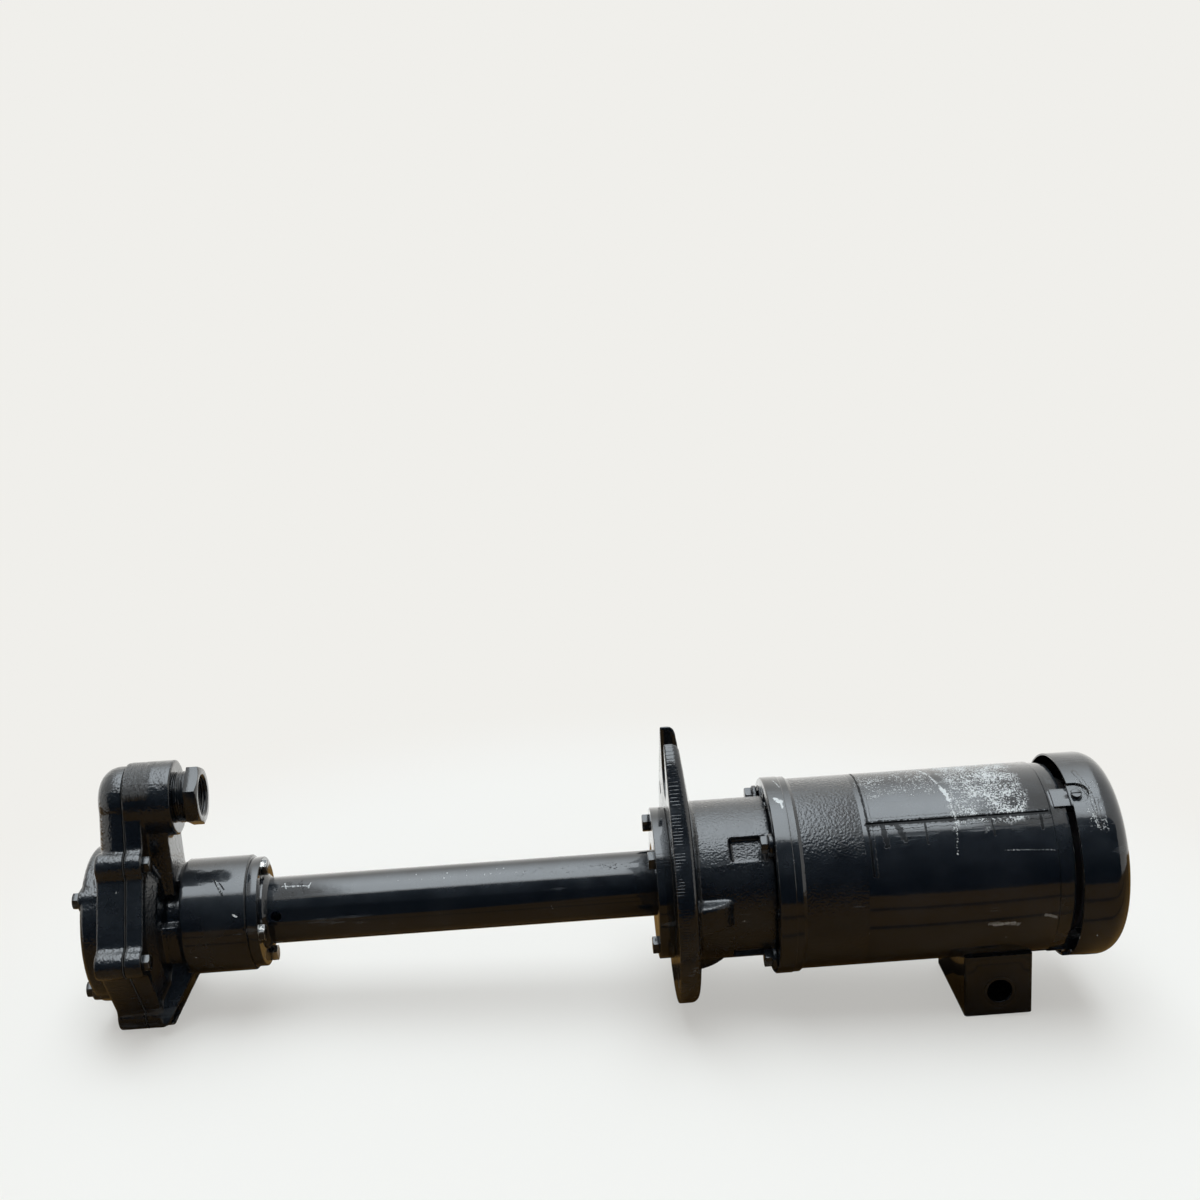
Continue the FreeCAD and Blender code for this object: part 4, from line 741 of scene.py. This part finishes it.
innerFinishes = (
    (gasketFibre, "suction_cover_gasket casing_gasket upper_flange_gasket conduit_box_gasket"),
    (turnedSteel, "pump_shaft motor_shaft impeller_key impeller_washer impeller_nut pump_coupling_key"),
    (turnedSteel, "motor_shaft_key motor_hub_set_screw pump_hub_set_screw motor_through_bolts"),
    (turnedSteel, "shaft_retaining_ring bearing_retaining_ring bearing_wave_spring"),
    (bearingSteel, "pump_bearing_outer_ring pump_bearing_inner_ring pump_bearing_balls"),
    (bearingSteel, "drive_bearing_outer_ring drive_bearing_inner_ring drive_bearing_balls"),
    (bearingSteel, "fan_bearing_outer_ring fan_bearing_inner_ring fan_bearing_balls"),
    (castIron, "impeller"),
    (bronze, "lower_sleeve_bearing"),
    (lamination, "stator_core rotor_core"),
    (castAluminium, "rotor_end_rings motor_coupling_hub pump_coupling_hub"),
    (copperWinding, "stator_winding"),
    (elastomer, "coupling_spider shaft_slinger"),
    (fanPlastic, "cooling_fan"),
)
for finish, names in innerFinishes:
    for name in names.split():
        frame["nodes"][name].data.materials.clear()
        frame["nodes"][name].data.materials.append(finish)
print("finishes made")


# Castings are rounded all over and pitted as the sand left them
castSkinShape = {
    "smoothing": 3,
    "smoothShare": 0.5,
    "wearGain": 4.0,                 # how soon a rounded edge counts as worn
    "pitDepth": 0.16 * mm,
    "pitSize": 4.5 * mm,
    "finePits": 2.3,
    "finePitShare": 0.5,
    "pitLevel": (0.5, 0.6),
    "smoothAngle": 80.0,
}
neckShape = {
    "castBelow": -419 * mm,
    "radius": 49.5 * mm,
    "low": -416.5 * mm,
    "high": -363.2 * mm,
    "within": 0.9 * mm,
}
rimShape = {
    "radius": 86 * mm,
    "pitsOutside": 0.2,
    "pitsInside": 0.8,
}


def pitsOnHead(spot):
    return 1.0 if spot.z < neckShape["castBelow"] else 0.0


def pitsOnBracket(spot):
    outside = math.hypot(spot.x, spot.y) > rimShape["radius"]
    return rimShape["pitsOutside"] if outside else rimShape["pitsInside"]


def castSkin(node, finish, voxel, pits=None, turned=None):
    shape = castSkinShape
    solid = linkPiece("raw", meshOf(mergedCopy(node), "raw"))
    remesh = solid.modifiers.new("remesh", "REMESH")
    remesh.mode = "VOXEL"
    remesh.voxel_size = voxel
    bpy.context.view_layer.update()
    evaluated = solid.evaluated_get(bpy.context.evaluated_depsgraph_get())
    bm = bmesh.new()
    bm.from_mesh(evaluated.to_mesh())
    bpy.data.objects.remove(solid)
    layer = bm.verts.layers.float.new("edgeWear")
    for vert in bm.verts:
        if vert.link_edges:
            middle = sum((edge.other_vert(vert).co for edge in vert.link_edges), Vector())
            standsOut = (vert.co - middle / len(vert.link_edges)).dot(vert.normal) / voxel
            vert[layer] = max(0.0, min(1.0, standsOut * shape["wearGain"]))
    for turn in range(shape["smoothing"]):
        bmesh.ops.smooth_vert(bm, verts=bm.verts, factor=shape["smoothShare"], use_axis_x=True, use_axis_y=True,
                              use_axis_z=True)
    bm.normal_update()
    level, swing = shape["pitLevel"]
    for vert in bm.verts:
        spot = vert.co / shape["pitSize"]
        rough = noise.noise(spot) + shape["finePitShare"] * noise.noise(spot * shape["finePits"])
        depth = shape["pitDepth"] * pits(vert.co) if pits else shape["pitDepth"]
        vert.co -= vert.normal * depth * (level + swing * rough)
    if turned:
        for vert in bm.verts:
            here = math.hypot(vert.co.x, vert.co.y)
            if turned["low"] <= vert.co.z <= turned["high"] and abs(here - turned["radius"]) < turned["within"]:
                vert.co.x *= turned["radius"] / here
                vert.co.y *= turned["radius"] / here
    piece = linkPiece(node.replace("_", "-"), meshOf(bm, node, shape["smoothAngle"]))
    return standIn(piece, node, finish)


castSkin("casing_head", pumpCastPaint, 1.25 * mm, pits=pitsOnHead, turned=neckShape)
castSkin("volute_casing", pumpCastPaint, 1.1 * mm)
castSkin("suction_cover", pumpCastPaint, 1.0 * mm)
castSkin("motor_bracket", castPaint, 1.3 * mm, pits=pitsOnBracket)
print("castings skinned")


# Machined and pressed pieces keep their CAD shape, with their edges broken
brokenEdges = {
    "bevel": 0.5 * mm,
    "castBevel": 0.6 * mm,
    "boltBevel": 0.25 * mm,
    "bushingBevel": 0.4 * mm,
    "segments": 2,
    "sharpAngle": 32.0,
}


def dressNode(node, finish, bevel=brokenEdges["bevel"]):
    bm = mergedCopy(node)
    layer = bm.faces.layers.float.new("edgeWear")
    sharp = [edge for edge in bm.edges if len(edge.link_faces) == 2
             and edge.calc_face_angle(0.0) > math.radians(brokenEdges["sharpAngle"])]
    made = bmesh.ops.bevel(bm, geom=sharp, affect="EDGES", offset=bevel, segments=brokenEdges["segments"],
                           profile=0.5, material=-1, clamp_overlap=True)
    for face in made["faces"]:
        face[layer] = 1.0
    piece = linkPiece(node.replace("_", "-"), meshOf(bm, node))
    return standIn(piece, node, finish)


dressNode("drive_end_bell", bellPaint, brokenEdges["castBevel"])
for node in ("column_tube", "upper_column_flange", "lower_column_flange"):
    dressNode(node, tubePaint)
for node in ("fan_end_bell", "conduit_box", "conduit_box_cover"):
    dressNode(node, smoothPaint)
dressNode("motor_shell", shellPaint)
dressNode("fan_cover", coverPaint)
for node in ("suction_cover_screws", "casing_bolts", "upper_flange_bolts", "c_face_bolts", "fan_cover_screws",
             "conduit_box_screws"):
    dressNode(node, boltPaint, brokenEdges["boltBevel"])
dressNode("lower_flange_bolts", wornBoltPaint, brokenEdges["boltBevel"])
dressNode("discharge_bushing", bushingPaint, brokenEdges["bushingBevel"])
print("machined pieces dressed")


# The discharge bushing's threads: outside above the boss, and inside for the pipe
bushingThreads = {
    "centre": -112 * mm,
    "pitch": 2.2 * mm,
    "around": 96,
    "perPitch": 8,
    "smoothAngle": 60.0,
    "outside": {"radius": 20.95 * mm, "height": 1.0 * mm, "low": -415.4 * mm, "high": -405.6 * mm},
    "inside": {"radius": 16.55 * mm, "height": -1.1 * mm, "low": -431.3 * mm, "high": -396.2 * mm},
}


def cutThread(name, shape):
    own = shape[name]
    length = own["high"] - own["low"]
    rows = int(length / shape["pitch"] * shape["perPitch"])
    bm = bmesh.new()
    rings = []
    for row in range(rows + 1):
        z = own["low"] + length * row / rows
        ends = min(1.0, (z - own["low"]) / shape["pitch"], (own["high"] - z) / shape["pitch"])
        ring = []
        for step in range(shape["around"]):
            turn = 2 * math.pi * step / shape["around"]
            phase = (z / shape["pitch"] - step / shape["around"]) % 1.0
            crest = 1.0 - abs(2 * phase - 1.0)
            radius = own["radius"] + own["height"] * crest * max(ends, 0.0)
            ring.append(bm.verts.new((shape["centre"] + radius * math.cos(turn), radius * math.sin(turn), z)))
        rings.append(ring)
    for lower, upper in zip(rings, rings[1:]):
        for step in range(shape["around"]):
            after = (step + 1) % shape["around"]
            corners = (lower[step], lower[after], upper[after], upper[step])
            bm.faces.new(corners if own["height"] > 0 else corners[::-1])
    piece = linkPiece("bushing-thread-" + name, meshOf(bm, name, shape["smoothAngle"]))
    piece.data.materials.append(bushingPaint)
    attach(piece, frame["nodes"]["discharge_bushing"]["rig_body"])


cutThread("outside", bushingThreads)
cutThread("inside", bushingThreads)
print("threads cut")


# Stage: a pale floor under the pump as it lies, on its conduit box and its lower ears
stageShape = {
    "floorColour": (0.895, 0.862, 0.812, 1),
    "floorRoughness": 0.9,
    "backdropColour": (0.871, 0.863, 0.831, 1),
    "floorHalf": 5.0,
    "gap": 0.5 * mm,
    "blend": (0.50, 0.80),           # away from the pump the floor turns into the even backdrop
    "evenShare": 0.50,               # and near it this share keeps its shadow faint
}


def layFloor(shape):
    coverLow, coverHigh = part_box("conduit_box_cover")
    casingLow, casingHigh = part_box("volute_casing")
    onBox = Vector((coverHigh.x + shape["gap"], 0, coverLow.z))
    onEars = Vector((casingHigh.x + shape["gap"], 0, casingLow.z))
    along = (onBox - onEars).normalized()
    side = Vector((0, 1, 0))
    normal = along.cross(side)
    turn = Matrix((along, side, normal)).transposed().to_4x4()
    bm = bmesh.new()
    bmesh.ops.create_grid(bm, x_segments=8, y_segments=8, size=shape["floorHalf"],
                          matrix=Matrix.Translation(onBox) @ turn)
    floor = linkPiece("floor", meshOf(bm, "floor"))
    material, tree = dullMaterial("paleFloor", shape["floorColour"], shape["floorRoughness"])
    lit = tree.nodes["Principled BSDF"].outputs[0]
    place = tree.nodes.new("ShaderNodeTexCoord").outputs["Object"]
    far = addNode(tree, "ShaderNodeVectorMath", {0: place}, operation="LENGTH").outputs["Value"]
    even = addNode(tree, "ShaderNodeEmission", {"Color": shape["backdropColour"]}).outputs[0]
    share = remap(tree, far, *shape["blend"], shape["evenShare"], 1.0)
    share = calc(tree, "MULTIPLY", share, seeingRays(tree))
    backdrop = addNode(tree, "ShaderNodeMixShader", {0: share, 1: lit, 2: even}).outputs[0]
    clear = tree.nodes.new("ShaderNodeBsdfTransparent").outputs[0]
    behind = tree.nodes.new("ShaderNodeNewGeometry").outputs["Backfacing"]
    blend = addNode(tree, "ShaderNodeMixShader", {0: behind, 1: backdrop, 2: clear}).outputs[0]
    tree.links.new(blend, tree.nodes["Material Output"].inputs["Surface"])
    floor.data.materials.append(material)
    return along, normal


floorAlong, floorNormal = layFloor(stageShape)


# Light: an even pale room with a long bright window above and behind the pump
roomLight = {
    "pale": stageShape["backdropColour"],
    "fill": (0.30, 0.30, 0.30, 1),
    "windowColour": (0.84, 0.93, 1.0, 1),
    "windowStrength": 4.4,
    "windowStart": 65.0,             # degrees about the shaft, from -Y towards -X
    "windowFade": (92.0, 150.0),
    "windowBlur": 5.0,
    "windowEnds": (0.30, 0.40),
}


def lightRoom(room):
    world = bpy.data.worlds.new("room")
    bpy.context.scene.world = world
    world.use_nodes = True
    tree = world.node_tree
    angle, parts = turnAbout(tree, tree.nodes.new("ShaderNodeTexCoord").outputs["Generated"])
    angle = calc(tree, "WRAP", angle, 2 * math.pi, 0.0)
    start = math.radians(room["windowStart"])
    blur = math.radians(room["windowBlur"])
    rise = remap(tree, angle, start - blur, start + blur)
    fall = remap(tree, angle, *(math.radians(value) for value in room["windowFade"]), 1.0, 0.0)
    ends = remap(tree, calc(tree, "ABSOLUTE", parts["Z"]), *room["windowEnds"], 1.0, 0.0)
    mask = calc(tree, "MULTIPLY", calc(tree, "MULTIPLY", rise, fall), ends)
    surround = mixColour(tree, seeingRays(tree), room["fill"], room["pale"])
    base = addNode(tree, "ShaderNodeBackground", {"Color": surround, "Strength": 1.0}).outputs[0]
    toLens = tree.nodes.new("ShaderNodeLightPath").outputs["Is Camera Ray"]
    strength = calc(tree, "MULTIPLY", calc(tree, "MULTIPLY", mask, room["windowStrength"]),
                    calc(tree, "SUBTRACT", 1.0, toLens))
    window = addNode(tree, "ShaderNodeBackground", {"Color": room["windowColour"], "Strength": strength})
    both = addNode(tree, "ShaderNodeAddShader", {0: base, 1: window.outputs[0]}).outputs[0]
    tree.links.new(both, tree.nodes["World Output"].inputs["Surface"])


lightRoom(roomLight)


# Dark flags that only reflections see: an arch on the camera's side and a brown cloth on the floor
darkFlags = {
    "archColour": (0.018, 0.031, 0.055, 1),
    "archRadius": 0.85,
    "archTurn": (-17.0, 61.0),
    "archParts": 24,
    "halfLength": 1.5,
    "clothColour": (0.20, 0.112, 0.036, 1),
    "clothRise": 1 * mm,
    "clothNear": 0.30,
    "clothFar": -0.95,
    "stripeColour": (0.03, 0.022, 0.015, 1),
    "stripeRise": 2 * mm,
    "stripes": ((-0.34, -0.30), (-0.17, -0.155), (0.02, 0.05)),
}


def makeFlag(name, colour, rows):
    bm = bmesh.new()
    made = [[bm.verts.new(corner) for corner in row] for row in rows]
    for first, second in zip(made, made[1:]):
        bm.faces.new((first[0], first[1], second[1], second[0]))
    flag = linkPiece(name, meshOf(bm, name))
    flag.data.materials.append(dullMaterial(name, colour, 1.0)[0])
    flag.visible_camera = False
    flag.visible_diffuse = False
    flag.visible_shadow = False
    flag.visible_transmission = False
    flag.visible_volume_scatter = False


def setFlags(flags):
    length = Vector((0, 0, flags["halfLength"]))
    rows = []
    low, high = flags["archTurn"]
    for step in range(flags["archParts"] + 1):
        turn = math.radians(low + (high - low) * step / flags["archParts"])
        spot = Vector((-math.sin(turn), -math.cos(turn), 0)) * flags["archRadius"]
        rows.append((spot - length, spot + length))
    makeFlag("darkArch", flags["archColour"], rows)
    coverLow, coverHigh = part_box("conduit_box_cover")
    foot = Vector((coverHigh.x, 0, coverLow.z))
    reach = floorAlong * flags["halfLength"]
    strips = [("brownCloth", flags["clothColour"], flags["clothRise"], (flags["clothNear"], flags["clothFar"]))]
    strips += [(f"darkStripe{number}", flags["stripeColour"], flags["stripeRise"], (second, first))
               for number, (first, second) in enumerate(flags["stripes"])]
    for name, colour, rise, edges in strips:
        lines = [foot + floorNormal * rise + Vector((0, edge, 0)) for edge in edges]
        makeFlag(name, colour, [(line - reach, line + reach) for line in lines])


setFlags(darkFlags)
print("stage set")
